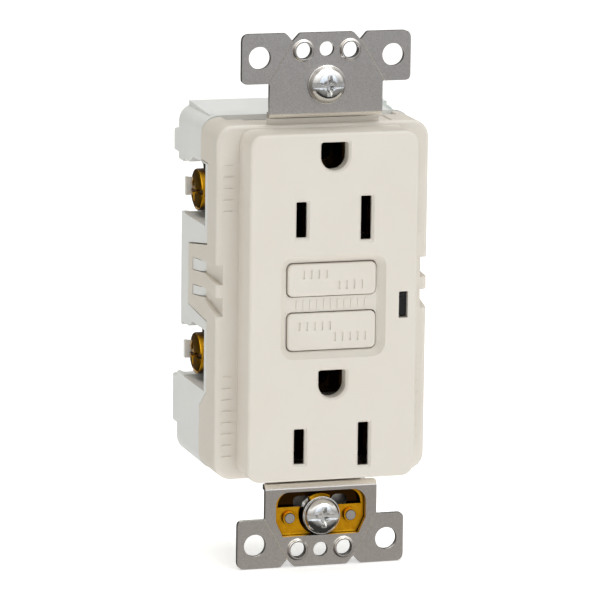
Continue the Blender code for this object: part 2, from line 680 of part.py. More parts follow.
def buttons(parts):
    """The test button with its stem, and the reset button with its rod and spring."""
    cap, flange = button_cap(TEST_Z, (-3.3, -2.3))
    stem = box((-1.3, 1.3), (-2.6, 9.9), (4.4, 6.0))
    parts.solid("test_button", "almond", cap, [flange, stem], (), (0, 0, sum(TEST_Z) / 2))
    cap, flange = button_cap(RESET_Z, (-2.3, -1.4))
    z = sum(RESET_Z) / 2
    parts.solid("reset_button", "almond", cap, [flange], (), (0, 0, z))
    neck = LATCH_Y[1] - 0.2
    pin = rod(0.9, -1.1, neck, (0, z), steps=16)
    tip = loft(((neck - 0.1, circle(0.9, (0, z), 16)), (neck + 1.4, circle(0.3, (0, z), 16))))
    parts.solid("reset_rod", "bright", pin, [tip], (), (0, 0, z))
    spring = coil_spring(2.1, 0.3, -1.1, 6.2, (0, z))
    parts.solid("reset_spring", "bright", spring, (), (), (0, 6.2, z))


def test_arm(parts):
    """The springy contact that the test button bends, hinged at its upper end."""
    strip = box((-1.5, 1.5), (10.3, 10.7), (3.6, 12.2))
    parts.solid("test_arm", "brass", strip, (), (), (0, 10.5, 12.2))


def trip_solenoid(parts):
    """Coil, frame, plunger and the latch plate that the plunger pulls."""
    axis = (0, SOLENOID_Y)
    y = (SOLENOID_Y - 4.4, SOLENOID_Y + 4.4)
    coil = rod(4.9, -24.5, -13.3, axis, "Z")
    parts.solid("solenoid_coil", "copper", coil, (), [rod(2.0, -26, -12, axis, "Z", 16)])
    side_plate = box((5.6, 6.4), y, (-25.8, -12.1))
    ends = [box((-4.8, 6.0), y, (-13.0, -12.1)), box((-4.8, 6.0), y, (-25.8, -24.9))]
    parts.solid("solenoid_frame", "steel", side_plate, ends, [rod(2.0, -14, -11, axis, "Z", 16)])
    origin = (*axis, -11.0)
    parts.solid("solenoid_plunger", "bright", rod(1.6, -22.0, -11.0, axis, "Z", 16), (), (), origin)
    plate = box((-3.6, 3.6), LATCH_Y, (-10.6, -1.2))
    hook = box((-2.2, 2.2), (LATCH_Y[0] + 0.3, SOLENOID_Y + 1.2), (-10.6, -9.8))
    slot = box((-1.3, 1.3), (LATCH_Y[0] - 1, LATCH_Y[1] + 1), (-6.3, -1.9))
    parts.solid("latch_plate", "steel", plate, [hook], [slot], (0, LATCH_Y[0], -10.6))


def electronics(parts):
    """Circuit board, sensing transformer, surge suppressor, capacitor, lamp and light pipe."""
    board = box((-11.9, 11.9), BOARD_Y, (-31.0, 31.0))
    parts.solid("circuit_board", "board", board, [box((10.0, 16.4), BOARD_Y, (-5.5, 6.5))])
    ring = rod(8.3, 14.4, 21.3, (0, 17.0), steps=32)
    parts.solid("sensing_transformer", "black", ring, (), [rod(3.6, 14, 25, (0, 17.0))])
    parts.solid("surge_suppressor", "blue", rod(4.9, 27.0, 30.4, (-8.0, 16.8), "Z"))
    parts.solid("capacitor", "blue", box((-4.6, 4.6), (14.6, BOARD_Y[0] - 0.4), (-30.8, -26.6)))
    led = (BOARD_Y[0] - 2.1, BOARD_Y[0] - GAP)
    parts.solid("indicator_led", "clear", rod(0.9, *led, (13.9, 0), steps=12))
    parts.solid("indicator_lens", "clear", box((13.2, 14.6), (-5.6, led[0] - GAP), (-2.2, 2.2)))


def build():
    for leftover in list(bpy.data.objects):
        bpy.data.objects.remove(leftover)
    parts = Assembly()
    makers = (front_cover, rear_housing, middle_frame, mounting_strap, ground_clip, clip_backing)
    makers += (mounting_screws, ground_contacts, ground_screw, terminals, blade_buses, line_bars)
    makers += (moving_contacts, buttons, test_arm, trip_solenoid, electronics)
    for make in makers:
        make(parts)


build()
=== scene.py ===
"""Looks of the duplex ground-fault receptacle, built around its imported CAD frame.

Shapes are in millimetres in the receptacle's own frame: X to the right of someone facing it, Y into
the wall from the front of the mounting ears, Z up. Every piece made here is baked and scaled into
the row frame, stands for one CAD node and rides on that node's body.
"""

import json
import math

import bmesh
import bpy
from mathutils import Matrix, Vector


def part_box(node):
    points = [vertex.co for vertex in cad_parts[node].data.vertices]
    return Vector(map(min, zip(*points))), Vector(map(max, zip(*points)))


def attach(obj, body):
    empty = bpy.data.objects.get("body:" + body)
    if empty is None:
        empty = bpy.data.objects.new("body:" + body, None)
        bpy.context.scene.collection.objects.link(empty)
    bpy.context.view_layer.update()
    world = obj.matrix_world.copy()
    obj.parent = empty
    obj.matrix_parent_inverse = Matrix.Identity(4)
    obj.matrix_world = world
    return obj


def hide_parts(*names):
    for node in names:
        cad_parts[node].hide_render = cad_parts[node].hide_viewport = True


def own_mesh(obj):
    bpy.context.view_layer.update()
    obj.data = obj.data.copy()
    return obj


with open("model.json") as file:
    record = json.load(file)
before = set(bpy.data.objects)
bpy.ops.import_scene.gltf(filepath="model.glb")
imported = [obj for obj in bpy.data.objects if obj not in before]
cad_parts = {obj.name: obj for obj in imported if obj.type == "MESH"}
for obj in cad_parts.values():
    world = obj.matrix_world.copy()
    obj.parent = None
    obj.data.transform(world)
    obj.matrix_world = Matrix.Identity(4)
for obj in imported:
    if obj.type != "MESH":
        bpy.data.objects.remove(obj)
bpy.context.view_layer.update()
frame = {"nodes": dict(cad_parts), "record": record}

MM = 0.001

# Main sizes, from the frame where a node gives them.
COVER_LOW, COVER_HIGH = (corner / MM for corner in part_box("front_cover"))
STRAP_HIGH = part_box("mounting_strap")[1] / MM
REAR_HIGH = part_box("rear_housing")[1] / MM
FACE_PROUD = 6.4
EAR_PLANE = COVER_LOW.y + FACE_PROUD

FACE_FRONT = -FACE_PROUD
FACE_HALF = (16.6, 33.35)
FACE_RADIUS = 2.6
FACE_ROUNDING = 0.6
FACE_INSIDE = -3.6
CASE_HALF_X = COVER_HIGH.x
COVER_HALF_Z = COVER_HIGH.z
CASE_RADIUS = 3.3
WALL = 1.5
SHOULDER = 1.2
SHOULDER_ROUNDING = 0.8
SKIRT_END = 12.6
SKIRT_BAY = 7.7
GROOVE_FRONT = 9.1
GROOVE_Z = 33.2
REAR_HALF = (REAR_HIGH.x, REAR_HIGH.z)
REAR_FRONT = 8.0
REAR_BACK = 26.5
REAR_STEP = 29.4
FOOT = REAR_HIGH.y - EAR_PLANE
STEP_Z = (-17.6, 23.3)
FEET_Z = ((24.8, 29.3), (-28.8, -19.2))
FEET_INNER_X = 9.0
FEET_HOLLOWS_Z = ((24.9, 30.2), (-29.7, -19.9))
INNER_X = 17.3
INNER_Z = 31.8

# Side tongues: heights at the skirt's step and at the tongue's end; windows at their back and front.
TONGUE_END = COVER_HIGH.y - EAR_PLANE
TONGUE_TOP = (10.4, 8.4)
TONGUE_BOTTOM = (-4.3, -3.3)
WINDOW_Y = (9.8, 18.0)
WINDOWS_BACK = ((3.8, 6.35), (-1.0, 1.05))
WINDOWS_FRONT = ((4.6, 6.95), (-0.1, 1.85))
CHANNELS_FRONT = ((3.7, 7.6), (-2.4, 1.3))
BAY_STEP_TOP = 26.2
BAY_STEP_BOTTOM = -18.4
BAY_STEP_SLOPE = -0.7

BLADE_X = 6.35
SLOT_HALF_X = 1.05
SLOT_HALF_Z = (3.4, 4.2)
GROUND_RADIUS = 2.7
GROUND_ABOVE_BLADES = 11.9
OUTLET_Z = (16.98, -26.67)
MOUNT_SCREW_Z = 83.34 / 2
PLATE_SCREW_Z = 96.84 / 2

BUTTON_HALF_X = 8.7
TEST_Z = (2.15, 8.4)
RESET_Z = (-8.25, -1.1)
BUTTON_FRONT = -5.4
DISH_FLOOR = -4.8
DISH_CENTRE_Z = 0.2
DISH_FLOOR_HALF = (8.95, 8.5)
DISH_RUN = 1.4
LENS_X = 13.85
LENS_HALF = (0.9, 2.55)
LEGEND_X = 18.7
SPRING_FOOT = 6.2

GAP = 0.3
THREAD_PITCH = 0.794

BAY_Z = (18.8, -13.3)
BAY_HALF_Z = 5.1
BAY_RISE = 1.75
BAY_FLOOR_X = 13.9
BAY_BACK = 25.4
POST_X = 20.3
NOTCH_ABOVE_SCREW = 3.35
SCREW_Y = 21.3
PLATE_FOOT_Y = (15.7, 16.7)
GROUND_SCREW = (17.2, 29.4)

CLIP_FLOOR_Y = 2.7
STRAP_THICKNESS = 1.0
STRAP_HALF_X = 11.13
STRAP_HALF_Z = STRAP_HIGH.z
EAR_HALF_X = STRAP_HIGH.x
EAR_LOW_Z = 42.05
LEG_INSIDE_Z = 35.4
LEG_HALF_X = 9.5
WEB_Y = 5.2
WEB_WINDOWS_Z = ((-9.6, 22.8), (-31.6, -21.6))
TAB_X = (15.4, 16.4)
TAB_Z = (26.6, 31.4)
BEND_RADIUS = 1.1
NOTCH_X = (5.25, 6.65, 8.0)
NOTCH_DEPTH = 1.55
COLLAR_HOLE = (4.6, 48.2)
EAR_HOLE = (13.13, 47.0)
CLIP_Z = (-46.6, -36.3)
CLIP_WING_TOP = -40.1
CLIP_RIVET = (6.1, -42.1)


# ---------------------------------------------------------------- outlines


def rectangle(a, b):
    return [(a[0], b[0]), (a[1], b[0]), (a[1], b[1]), (a[0], b[1])]


def circle(radius, centre=(0, 0), steps=48):
    turns = [2 * math.pi * i / steps for i in range(steps)]
    return [(centre[0] + radius * math.cos(t), centre[1] + radius * math.sin(t)) for t in turns]


def arc(radius, centre, start, end, steps):
    """Points from one angle to another, both in quarter turns."""
    turns = [math.pi / 2 * (start + (end - start) * i / steps) for i in range(steps + 1)]
    return [(centre[0] + radius * math.cos(t), centre[1] + radius * math.sin(t)) for t in turns]


def rounded(half_a, half_b, radius, centre=(0, 0), steps=8):
    """A rectangle with round corners, anticlockwise from its right side."""
    points = []
    for quarter, (side_a, side_b) in enumerate(((1, 1), (-1, 1), (-1, -1), (1, -1))):
        corner = (centre[0] + side_a * (half_a - radius), centre[1] + side_b * (half_b - radius))
        points += arc(radius, corner, quarter, quarter + 1, steps)
    return points


def ground_opening(radius, centre_z, corner=0.5):
    """A ground pin's opening: half round below, square with small round corners above."""
    points = arc(radius, (0, centre_z), 2, 4, 20)
    for quarter, side in enumerate((1, -1)):
        centre = (side * (radius - corner), centre_z + radius - corner)
        points += arc(corner, centre, quarter, quarter + 1, 4)
    return points


def softened(points, radius, steps=4):
    """The outline with each corner replaced by a short arc-like curve."""
    made = []
    count = len(points)
    for i, point in enumerate(points):
        here = Vector(point)
        before = Vector(points[i - 1]) - here
        after = Vector(points[(i + 1) % count]) - here
        reach = min(radius, before.length * 0.45, after.length * 0.45)
        start = here + before.normalized() * reach
        end = here + after.normalized() * reach
        for step in range(steps + 1):
            t = step / steps
            at = start * (1 - t) ** 2 + here * 2 * t * (1 - t) + end * t**2
            made.append((at.x, at.y))
    return made


# ---------------------------------------------------------------- shapes


def placed(a, b, along, axis):
    order = {"X": (along, a, b), "Y": (a, along, b), "Z": (a, b, along)}
    return Vector(order[axis])


def skin(rings):
    """A closed solid through rings of points."""
    bm = bmesh.new()
    made = [[bm.verts.new(point) for point in ring] for ring in rings]
    for lower, upper in zip(made, made[1:]):
        for i in range(len(lower)):
            after = (i + 1) % len(lower)
            bm.faces.new((lower[i], lower[after], upper[after], upper[i]))
    bm.faces.new(made[0])
    bm.faces.new(made[-1])
    bmesh.ops.recalc_face_normals(bm, faces=bm.faces)
    return bm


def loft(sections, axis="Y"):
    """A closed solid through (distance along the axis, outline) sections of equal point counts."""
    return skin([[placed(a, b, along, axis) for a, b in outline] for along, outline in sections])


def prism(outline, low, high, axis="Y"):
    return loft(((low, outline), (high, outline)), axis)


def box(x, y, z):
    return prism(rectangle(x, z), *y)


def rod(radius, low, high, centre=(0, 0), axis="Y", steps=48):
    return prism(circle(radius, centre, steps), low, high, axis)


def round_fronted(outline_at, front, back, rounding, steps=6):
    """A block whose front edge is rounded; outline_at(inset) gives its outline."""
    sections = []
    for i in range(steps + 1):
        turn = math.pi / 2 * i / steps
        depth, inset = rounding * (1 - math.cos(turn)), rounding * (1 - math.sin(turn))
        sections.append((front + depth, outline_at(inset)))
    sections.append((back, outline_at(0)))
    return loft(sections)


def mirrored(side, low, high):
    return sorted((side * low, side * high))


# ---------------------------------------------------------------- baking


def temporary(bm, collection=None):
    mesh = bpy.data.meshes.new("temporary")
    bm.to_mesh(mesh)
    bm.free()
    made = bpy.data.objects.new("temporary", mesh)
    (collection or bpy.context.scene.collection).objects.link(made)
    return made


def baked(made):
    """Replaces the object's mesh with what its modifiers make of it."""
    graph = bpy.context.evaluated_depsgraph_get()
    mesh = bpy.data.meshes.new_from_object(made.evaluated_get(graph))
    made.modifiers.clear()
    made.data = mesh


def combine(made, shapes, operation):
    if not shapes:
        return
    group = bpy.data.collections.new("temporary")
    bpy.context.scene.collection.children.link(group)
    helpers = [temporary(shape, group) for shape in shapes]
    boolean = made.modifiers.new("boolean", "BOOLEAN")
    boolean.operation = operation
    boolean.operand_type = "COLLECTION"
    boolean.collection = group
    boolean.solver = "EXACT"
    baked(made)
    for helper in helpers:
        bpy.data.objects.remove(helper)
    bpy.data.collections.remove(group)


def cleaned(made):
    """Dissolves the flat facets a Boolean leaves and welds its doubles."""
    bm = bmesh.new()
    bm.from_mesh(made.data)
    bmesh.ops.remove_doubles(bm, verts=bm.verts, dist=0.002)
    bmesh.ops.dissolve_limit(bm, angle_limit=math.radians(0.5), verts=bm.verts, edges=bm.edges)
    bm.to_mesh(made.data)
    bm.free()


def add_fine_edge(made, width, angle):
    edge = made.modifiers.new("fine edge", "BEVEL")
    edge.width = width
    edge.segments = 2
    edge.limit_method = "ANGLE"
    edge.angle_limit = math.radians(angle)


def finish_surface(made, look):
    made.data.materials.clear()
    made.data.materials.append(LOOKS[look])
    made.data.shade_smooth()
    made.data.set_sharp_from_angle(angle=math.radians(32))


def piece(name, node, body, look, base, joined=(), removed=(), bevel=0.0, marks=(), engraved=()):
    """Stands for a node: base, joined and cut shapes, a fine bevel, then raised and sunk details."""
    made = temporary(base)
    combine(made, joined, "UNION")
    combine(made, removed, "DIFFERENCE")
    if bevel:
        cleaned(made)
        add_fine_edge(made, bevel, 28)
        baked(made)
    combine(made, marks, "UNION")
    combine(made, engraved, "DIFFERENCE")
    made.name = made.data.name = name
    made.data.transform(Matrix.Translation((0, EAR_PLANE * MM, 0)) @ Matrix.Scale(MM, 4))
    finish_surface(made, look)
    weighted = made.modifiers.new("weighted normals", "WEIGHTED_NORMAL")
    weighted.keep_sharp = True
    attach(made, body)
    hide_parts(node)
    return made


# ---------------------------------------------------------------- materials


class Nodes:
    """A short way to build a node tree."""

    def __init__(self, tree):
        self.tree = tree

    def link(self, source, target):
        self.tree.links.new(source, target)

    def node(self, kind, **inputs):
        made = self.tree.nodes.new(kind)
        for key, value in inputs.items():
            made.inputs[key].default_value = value
        return made

    def output(self, kind, name):
        return self.node(kind).outputs[name]

    def place(self):
        return self.output("ShaderNodeTexCoord", "Object")

    def split(self, vector):
        """A vector's X, Y and Z."""
        made = self.node("ShaderNodeSeparateXYZ")
        self.link(vector, made.inputs["Vector"])
        return made.outputs

    def calculated(self, operation, *values):
        made = self.node("ShaderNodeMath")
        made.operation = operation
        for value, target in zip(values, made.inputs):
            self.link(value, target)
        return made.outputs["Value"]

    def noise(self, size_mm, detail=3.0, stretch=(1, 1, 1)):
        """Noise whose features are about size_mm wide, stretched along the axes."""
        mapping = self.node("ShaderNodeMapping", Scale=[1 / (size_mm * MM * s) for s in stretch])
        self.link(self.place(), mapping.inputs["Vector"])
        made = self.node("ShaderNodeTexNoise", Scale=1.0, Detail=detail)
        self.link(mapping.outputs["Vector"], made.inputs["Vector"])
        return made.outputs["Fac"]

    def ranged(self, source, low, high, start=0.3, end=0.7):
        """Maps a value from start..end to low..high."""
        limits = {"From Min": start, "From Max": end, "To Min": low, "To Max": high}
        made = self.node("ShaderNodeMapRange", **limits)
        self.link(source, made.inputs["Value"])
        return made.outputs["Result"]

    def tint(self, factor, first, second):
        """A colour between two, chosen by a 0 to 1 value; the first may come from another node."""
        made = self.node("ShaderNodeMix")
        made.data_type = "RGBA"
        if isinstance(first, tuple):
            made.inputs["A"].default_value = (*first, 1)
        else:
            self.link(first, made.inputs["A"])
        made.inputs["B"].default_value = (*second, 1)
        self.link(factor, made.inputs["Factor"])
        return made.outputs["Result"]

    def either(self, chooser, first, second):
        """The second shader where the chooser is 1, else the first."""
        made = self.node("ShaderNodeMixShader")
        self.link(chooser, made.inputs["Fac"])
        self.link(first, made.inputs[1])
        self.link(second, made.inputs[2])
        return made.outputs["Shader"]

    def bump(self, source, height_mm, after=None):
        made = self.node("ShaderNodeBump", Strength=1.0, Distance=height_mm * MM)
        self.link(source, made.inputs["Height"])
        if after:
            self.link(after, made.inputs["Normal"])
        return made.outputs["Normal"]


def new_material(name, **settings):
    material = bpy.data.materials.new(name)
    material.use_nodes = True
    shader = material.node_tree.nodes["Principled BSDF"]
    for key, value in settings.items():
        shader.inputs[key].default_value = value
    return material, Nodes(material.node_tree), shader


def moulded_plastic(name, colour, shade, roughness, subsurface=0.0):
    """Moulded plastic: a faint cloudy tone, a fine mould grain and slight flow waviness."""
    skin_depth = {"Subsurface Weight": subsurface, "Subsurface Radius": (0.0012, 0.001, 0.0008)}
    material, nodes, shader = new_material(name, IOR=1.5, **skin_depth)
    cloud = nodes.ranged(nodes.noise(9.0, 2), 0, 1)
    nodes.link(nodes.tint(cloud, colour, shade), shader.inputs["Base Color"])
    rough = nodes.ranged(nodes.noise(1.3), roughness - 0.05, roughness + 0.07)
    nodes.link(rough, shader.inputs["Roughness"])
    waves = nodes.bump(nodes.noise(5.0, 1), 0.012)
    nodes.link(nodes.bump(nodes.noise(0.16, 2), 0.0035, waves), shader.inputs["Normal"])
    return material


def rolled_metal(name, colour, shade, highlight_tone, roughness, grain, bump_mm):
    """Plated sheet metal: a fine even grain, blotchy plating and small dents, with a painted highlight (a
    paler tone, with lower roughness) on surfaces that face up or down, as at its bends.
    """
    material, nodes, shader = new_material(name, Metallic=1.0)
    blotch = nodes.ranged(nodes.noise(0.25, 5), 0, 1, 0.32, 0.68)
    facing = nodes.split(nodes.output("ShaderNodeNewGeometry", "Normal"))
    # Painted highlight: surfaces facing up or down are tinted towards the paler highlight tone.
    facing_highlight = nodes.ranged(nodes.calculated("ABSOLUTE", facing["Z"]), 0, 1, 0.12, 0.5)
    tone = nodes.tint(facing_highlight, nodes.tint(blotch, colour, shade), highlight_tone)
    nodes.link(tone, shader.inputs["Base Color"])
    speck = nodes.noise(grain, 3)
    rough = nodes.ranged(speck, roughness - 0.06, roughness + 0.1)
    smoother = nodes.ranged(facing_highlight, 0, 0.14, 0, 1)
    nodes.link(nodes.calculated("SUBTRACT", rough, smoother), shader.inputs["Roughness"])
    dents = nodes.bump(nodes.noise(3.0, 2), bump_mm * 4, nodes.bump(speck, bump_mm))
    nodes.link(dents, shader.inputs["Normal"])
    return material


def turned_metal(name, colour, shade, roughness, shade_tone=None, closed=(0.4, 0.75), shade_from=None):
    """Plated fasteners: bright, with faint stains and scratches, and painted shade in their recesses and,
    if asked, beyond a given depth.
    """
    material, nodes, shader = new_material(name, Metallic=1.0)
    tone = nodes.tint(nodes.ranged(nodes.noise(1.1, 4), 0, 1, 0.4, 0.75), colour, shade)
    # Painted shade: the colour darkens towards the shade tone where the surface is closed in.
    if shade_tone:
        open_sky = nodes.node("ShaderNodeAmbientOcclusion", Distance=4.5 * MM).outputs["AO"]
        tone = nodes.tint(nodes.ranged(open_sky, 1, 0, *closed), tone, shade_tone)
    # Painted shade: everything deeper than the given depth takes the shade tone.
    if shade_from:
        depth = nodes.split(nodes.place())["Y"]
        start = (EAR_PLANE + shade_from) * MM
        tone = nodes.tint(nodes.ranged(depth, 0, 1, start - 0.5 * MM, start), tone, shade_tone)
    nodes.link(tone, shader.inputs["Base Color"])
    rough = nodes.ranged(nodes.noise(0.5, 4), roughness * 0.7, roughness * 1.6)
    nodes.link(rough, shader.inputs["Roughness"])
    nodes.link(nodes.bump(nodes.noise(0.12, 2, (1, 6, 1)), 0.0008), shader.inputs["Normal"])
    return material


def wound_wire(name):
    """Enamelled wire wound round the solenoid: fine parallel ridges."""
    material, nodes, shader = new_material(name, Metallic=0.8, Roughness=0.3)
    wave = nodes.node("ShaderNodeTexWave", Scale=900.0)
    wave.bands_direction = "Z"
    nodes.link(nodes.place(), wave.inputs["Vector"])
    tone = nodes.tint(wave.outputs["Fac"], (0.16, 0.05, 0.02), (0.55, 0.22, 0.07))
    nodes.link(tone, shader.inputs["Base Color"])
    nodes.link(nodes.bump(wave.outputs["Fac"], 0.05), shader.inputs["Normal"])
    return material


def board_laminate(name):
    """Solder resist over woven glass, crossed by lighter traces."""
    material, nodes, shader = new_material(name)
    resist, deep_resist, trace = (0.02, 0.14, 0.05, 1), (0.03, 0.18, 0.07, 1), (0.08, 0.30, 0.12, 1)
    colours = {"Color1": resist, "Color2": deep_resist, "Mortar": trace}
    checks = nodes.node("ShaderNodeTexBrick", Scale=220.0, **colours)
    nodes.link(nodes.place(), checks.inputs["Vector"])
    nodes.link(checks.outputs["Color"], shader.inputs["Base Color"])
    nodes.link(nodes.ranged(nodes.noise(0.6), 0.3, 0.45), shader.inputs["Roughness"])
    nodes.link(nodes.bump(nodes.noise(0.3, 2), 0.01), shader.inputs["Normal"])
    return material


def make_looks():
    yellow, deep_yellow = (0.84, 0.43, 0.022), (0.74, 0.35, 0.012)
    amber, deep_amber = (0.84, 0.41, 0.012), (0.70, 0.31, 0.008)
    # The last strap colour is a painted highlight for the strap's up- and down-facing surfaces.
    plated, blotched, strap_highlight = (0.58, 0.54, 0.50), (0.47, 0.435, 0.40), (0.92, 0.89, 0.84)
    return {
        "almond": moulded_plastic("almond_plastic", (0.745, 0.70, 0.635), (0.73, 0.68, 0.61), 0.42, 0.06),
        "white": moulded_plastic("white_plastic", (0.80, 0.81, 0.80), (0.77, 0.78, 0.77), 0.46, 0.06),
        "black": moulded_plastic("black_plastic", (0.018, 0.018, 0.019), (0.03, 0.03, 0.03), 0.42),
        "strap_steel": rolled_metal("strap_steel", plated, blotched, strap_highlight, 0.33, 0.12, 0.0022),
        "bright_steel": turned_metal("bright_steel", (0.80, 0.80, 0.79), (0.66, 0.65, 0.63), 0.14),
        # The last colours of the brass and the clip brass are painted shade for their recesses; the clip's
        # also covers its pocket floor and all behind it.
        "brass": turned_metal("yellow_brass", yellow, deep_yellow, 0.09, (0.09, 0.035, 0.005)),
        "clip_brass": turned_metal(
            "clip_brass", amber, deep_amber, 0.17, (0.03, 0.012, 0.002), (0.3, 0.6), CLIP_FLOOR_Y
        ),
        # The ground contacts are painted almost black: painted shade for the dark inside of the ground
        # openings.
        "contact_brass": turned_metal("contact_brass", (0.07, 0.035, 0.01), (0.05, 0.025, 0.006), 0.35),
        "green_steel": turned_metal("green_steel", (0.03, 0.36, 0.13), (0.02, 0.24, 0.08), 0.28),
        "copper_wire": wound_wire("copper_winding"),
        "board": board_laminate("board_laminate"),
        "epoxy": moulded_plastic("blue_epoxy", (0.02, 0.07, 0.32), (0.03, 0.10, 0.4), 0.25),
        "lens": moulded_plastic("smoked_lens", (0.004, 0.004, 0.004), (0.007, 0.007, 0.007), 0.3),
    }


LOOKS = make_looks()


# ---------------------------------------------------------------- cover


def tick_row(count, pitch, centre, size, y, upright=True):
    """A row of short raised bars, standing where a moulded legend would be."""
    bars = []
    for i in range(count):
        offset = (i - (count - 1) / 2) * pitch
        x, z = (centre[0] + offset, centre[1]) if upright else (centre[0], centre[1] + offset)
        half = (size[0] / 2, size[1] / 2) if upright else (size[1] / 2, size[0] / 2)
        bars.append(prism(rounded(*half, min(half) * 0.8, (x, z), 3), *y))
    return bars


# The dish's concave wall: depth, and how far out from the floor as a share of the run.
DISH_PROFILE = (
    (FACE_FRONT - 0.6, 1.12),
    (FACE_FRONT - 0.02, 1.02),
    (FACE_FRONT + 0.12, 0.95),
    (FACE_FRONT + 0.6, 0.72),
    (FACE_FRONT + 1.1, 0.42),
    (FACE_FRONT + 1.42, 0.16),
    (DISH_FLOOR, 0.0),
)


def pockets():
    """Relief behind the blade slots, which leaves thin walls round them."""
    deep = (FACE_FRONT + 1.0, FACE_INSIDE + 1)
    half_x, half_z = 2.4, 5.2
    cuts = []
    for blades in OUTLET_Z:
        for x in (-BLADE_X, BLADE_X):
            cuts.append(box((x - half_x, x + half_x), deep, (blades - half_z, blades + half_z)))
    return cuts


def face_cuts():
    """Chamfered slots and ground openings, the button dish and the indicator window."""
    chamfer = 0.45
    sections = ((FACE_FRONT - 0.3, chamfer + 0.3), (FACE_FRONT + chamfer, 0.0), (FACE_INSIDE + 1, 0.0))
    cuts = []
    for blades in OUTLET_Z:
        for x, half_height in zip((-BLADE_X, BLADE_X), SLOT_HALF_Z):
            def outline(grow):
                return rounded(SLOT_HALF_X + grow, half_height + grow, 0.25, (x, blades), 3)

            cuts.append(loft([(y, outline(grow)) for y, grow in sections]))
        centre = blades + GROUND_ABOVE_BLADES
        cuts.append(loft([(y, ground_opening(GROUND_RADIUS + grow, centre)) for y, grow in sections]))
    dish = []
    for y, share in DISH_PROFILE:
        half = [floor + DISH_RUN * share for floor in DISH_FLOOR_HALF]
        dish.append((y, rounded(*half, 1.3 + 1.3 * share, (0, DISH_CENTRE_Z))))
    cuts.append(loft(dish))
    through = (FACE_FRONT - 1, FACE_INSIDE + 1)
    for low, high in (TEST_Z, RESET_Z):
        outline = rounded(BUTTON_HALF_X + 0.2, (high - low) / 2 + 0.2, 1.15, (0, (low + high) / 2))
        cuts.append(prism(outline, *through))
    cuts.append(prism(rounded(*LENS_HALF, 0.15, (LENS_X, 0), 3), *through))
    return cuts


def tongue_edge(ends, y):
    """The height of one of the tongue's two sloping edges at a depth."""
    share = (y - SKIRT_BAY) / (TONGUE_END - SKIRT_BAY)
    return ends[0] + share * (ends[1] - ends[0])


def skirt_steps():
    """What is cut from the cover's side above and below the tongue, seen from the side."""
    start, end = SKIRT_BAY, TONGUE_END + 1
    upper = [(start, BAY_STEP_TOP), (start, TONGUE_TOP[0])]
    upper += [(end, tongue_edge(TONGUE_TOP, end)), (end, BAY_STEP_TOP)]
    lower = [(start, TONGUE_BOTTOM[0]), (start, BAY_STEP_BOTTOM)]
    lower += [(end, BAY_STEP_BOTTOM + BAY_STEP_SLOPE * (end - start))]
    lower.append((end, tongue_edge(TONGUE_BOTTOM, end)))
    return upper, lower


def window_outline(back, front, inset=0.0):
    """A snap window, seen from the side, wider apart and higher at its front."""
    start, end = WINDOW_Y[0] + inset * 2, WINDOW_Y[1] - inset * 2
    low = [(start, front[0] + inset), (end, back[0] + inset)]
    return low + [(end, back[1] - inset), (start, front[1] - inset)]


def channel(side, window, mouth):
    """A notch in the shoulder that grows shallower towards a window."""
    def section(depth, heights):
        return rectangle(mirrored(side, CASE_HALF_X - depth, CASE_HALF_X + 1), heights)

    shoulder, end = section(WALL - 0.1, mouth), section(0.5, window)
    return loft(((SHOULDER - 0.3, shoulder), (WINDOW_Y[0] + 0.3, end)))


def cover_skirt_cuts():
    """The hollow inside, the bays and windows at the sides, and the strap's way in at each end."""
    cuts = [
        prism(rounded(15.0, 31.8, 1.5), FACE_INSIDE, SHOULDER + 2),
        prism(rounded(CASE_HALF_X - WALL, COVER_HALF_Z - WALL, 2.0), SHOULDER + WALL, SKIRT_END + 1),
    ]
    for side in (-1, 1):
        beyond = mirrored(side, 14.0, CASE_HALF_X + 1)
        cuts += [prism(outline, *beyond, "X") for outline in skirt_steps()]
        for back, front, mouth in zip(WINDOWS_BACK, WINDOWS_FRONT, CHANNELS_FRONT):
            cuts.append(prism(window_outline(back, front), *beyond, "X"))
            cuts.append(channel(side, front, mouth))
    for end in (-1, 1):
        shallow = mirrored(end, COVER_HALF_Z - 0.25, COVER_HALF_Z + 1)
        cuts.append(box((-14.0, 14.0), (SHOULDER + 1.2, SKIRT_END + 1), shallow))
        groove = mirrored(end, GROOVE_Z, COVER_HALF_Z + 1)
        cuts.append(box((-17.0, 17.0), (GROOVE_FRONT, SKIRT_END + 1), groove))
        beyond = mirrored(end, 32.0, 36.0)
        cuts.append(box((-LEG_HALF_X - GAP, LEG_HALF_X + GAP), (WEB_Y - GAP, 10.0), beyond))
    return cuts


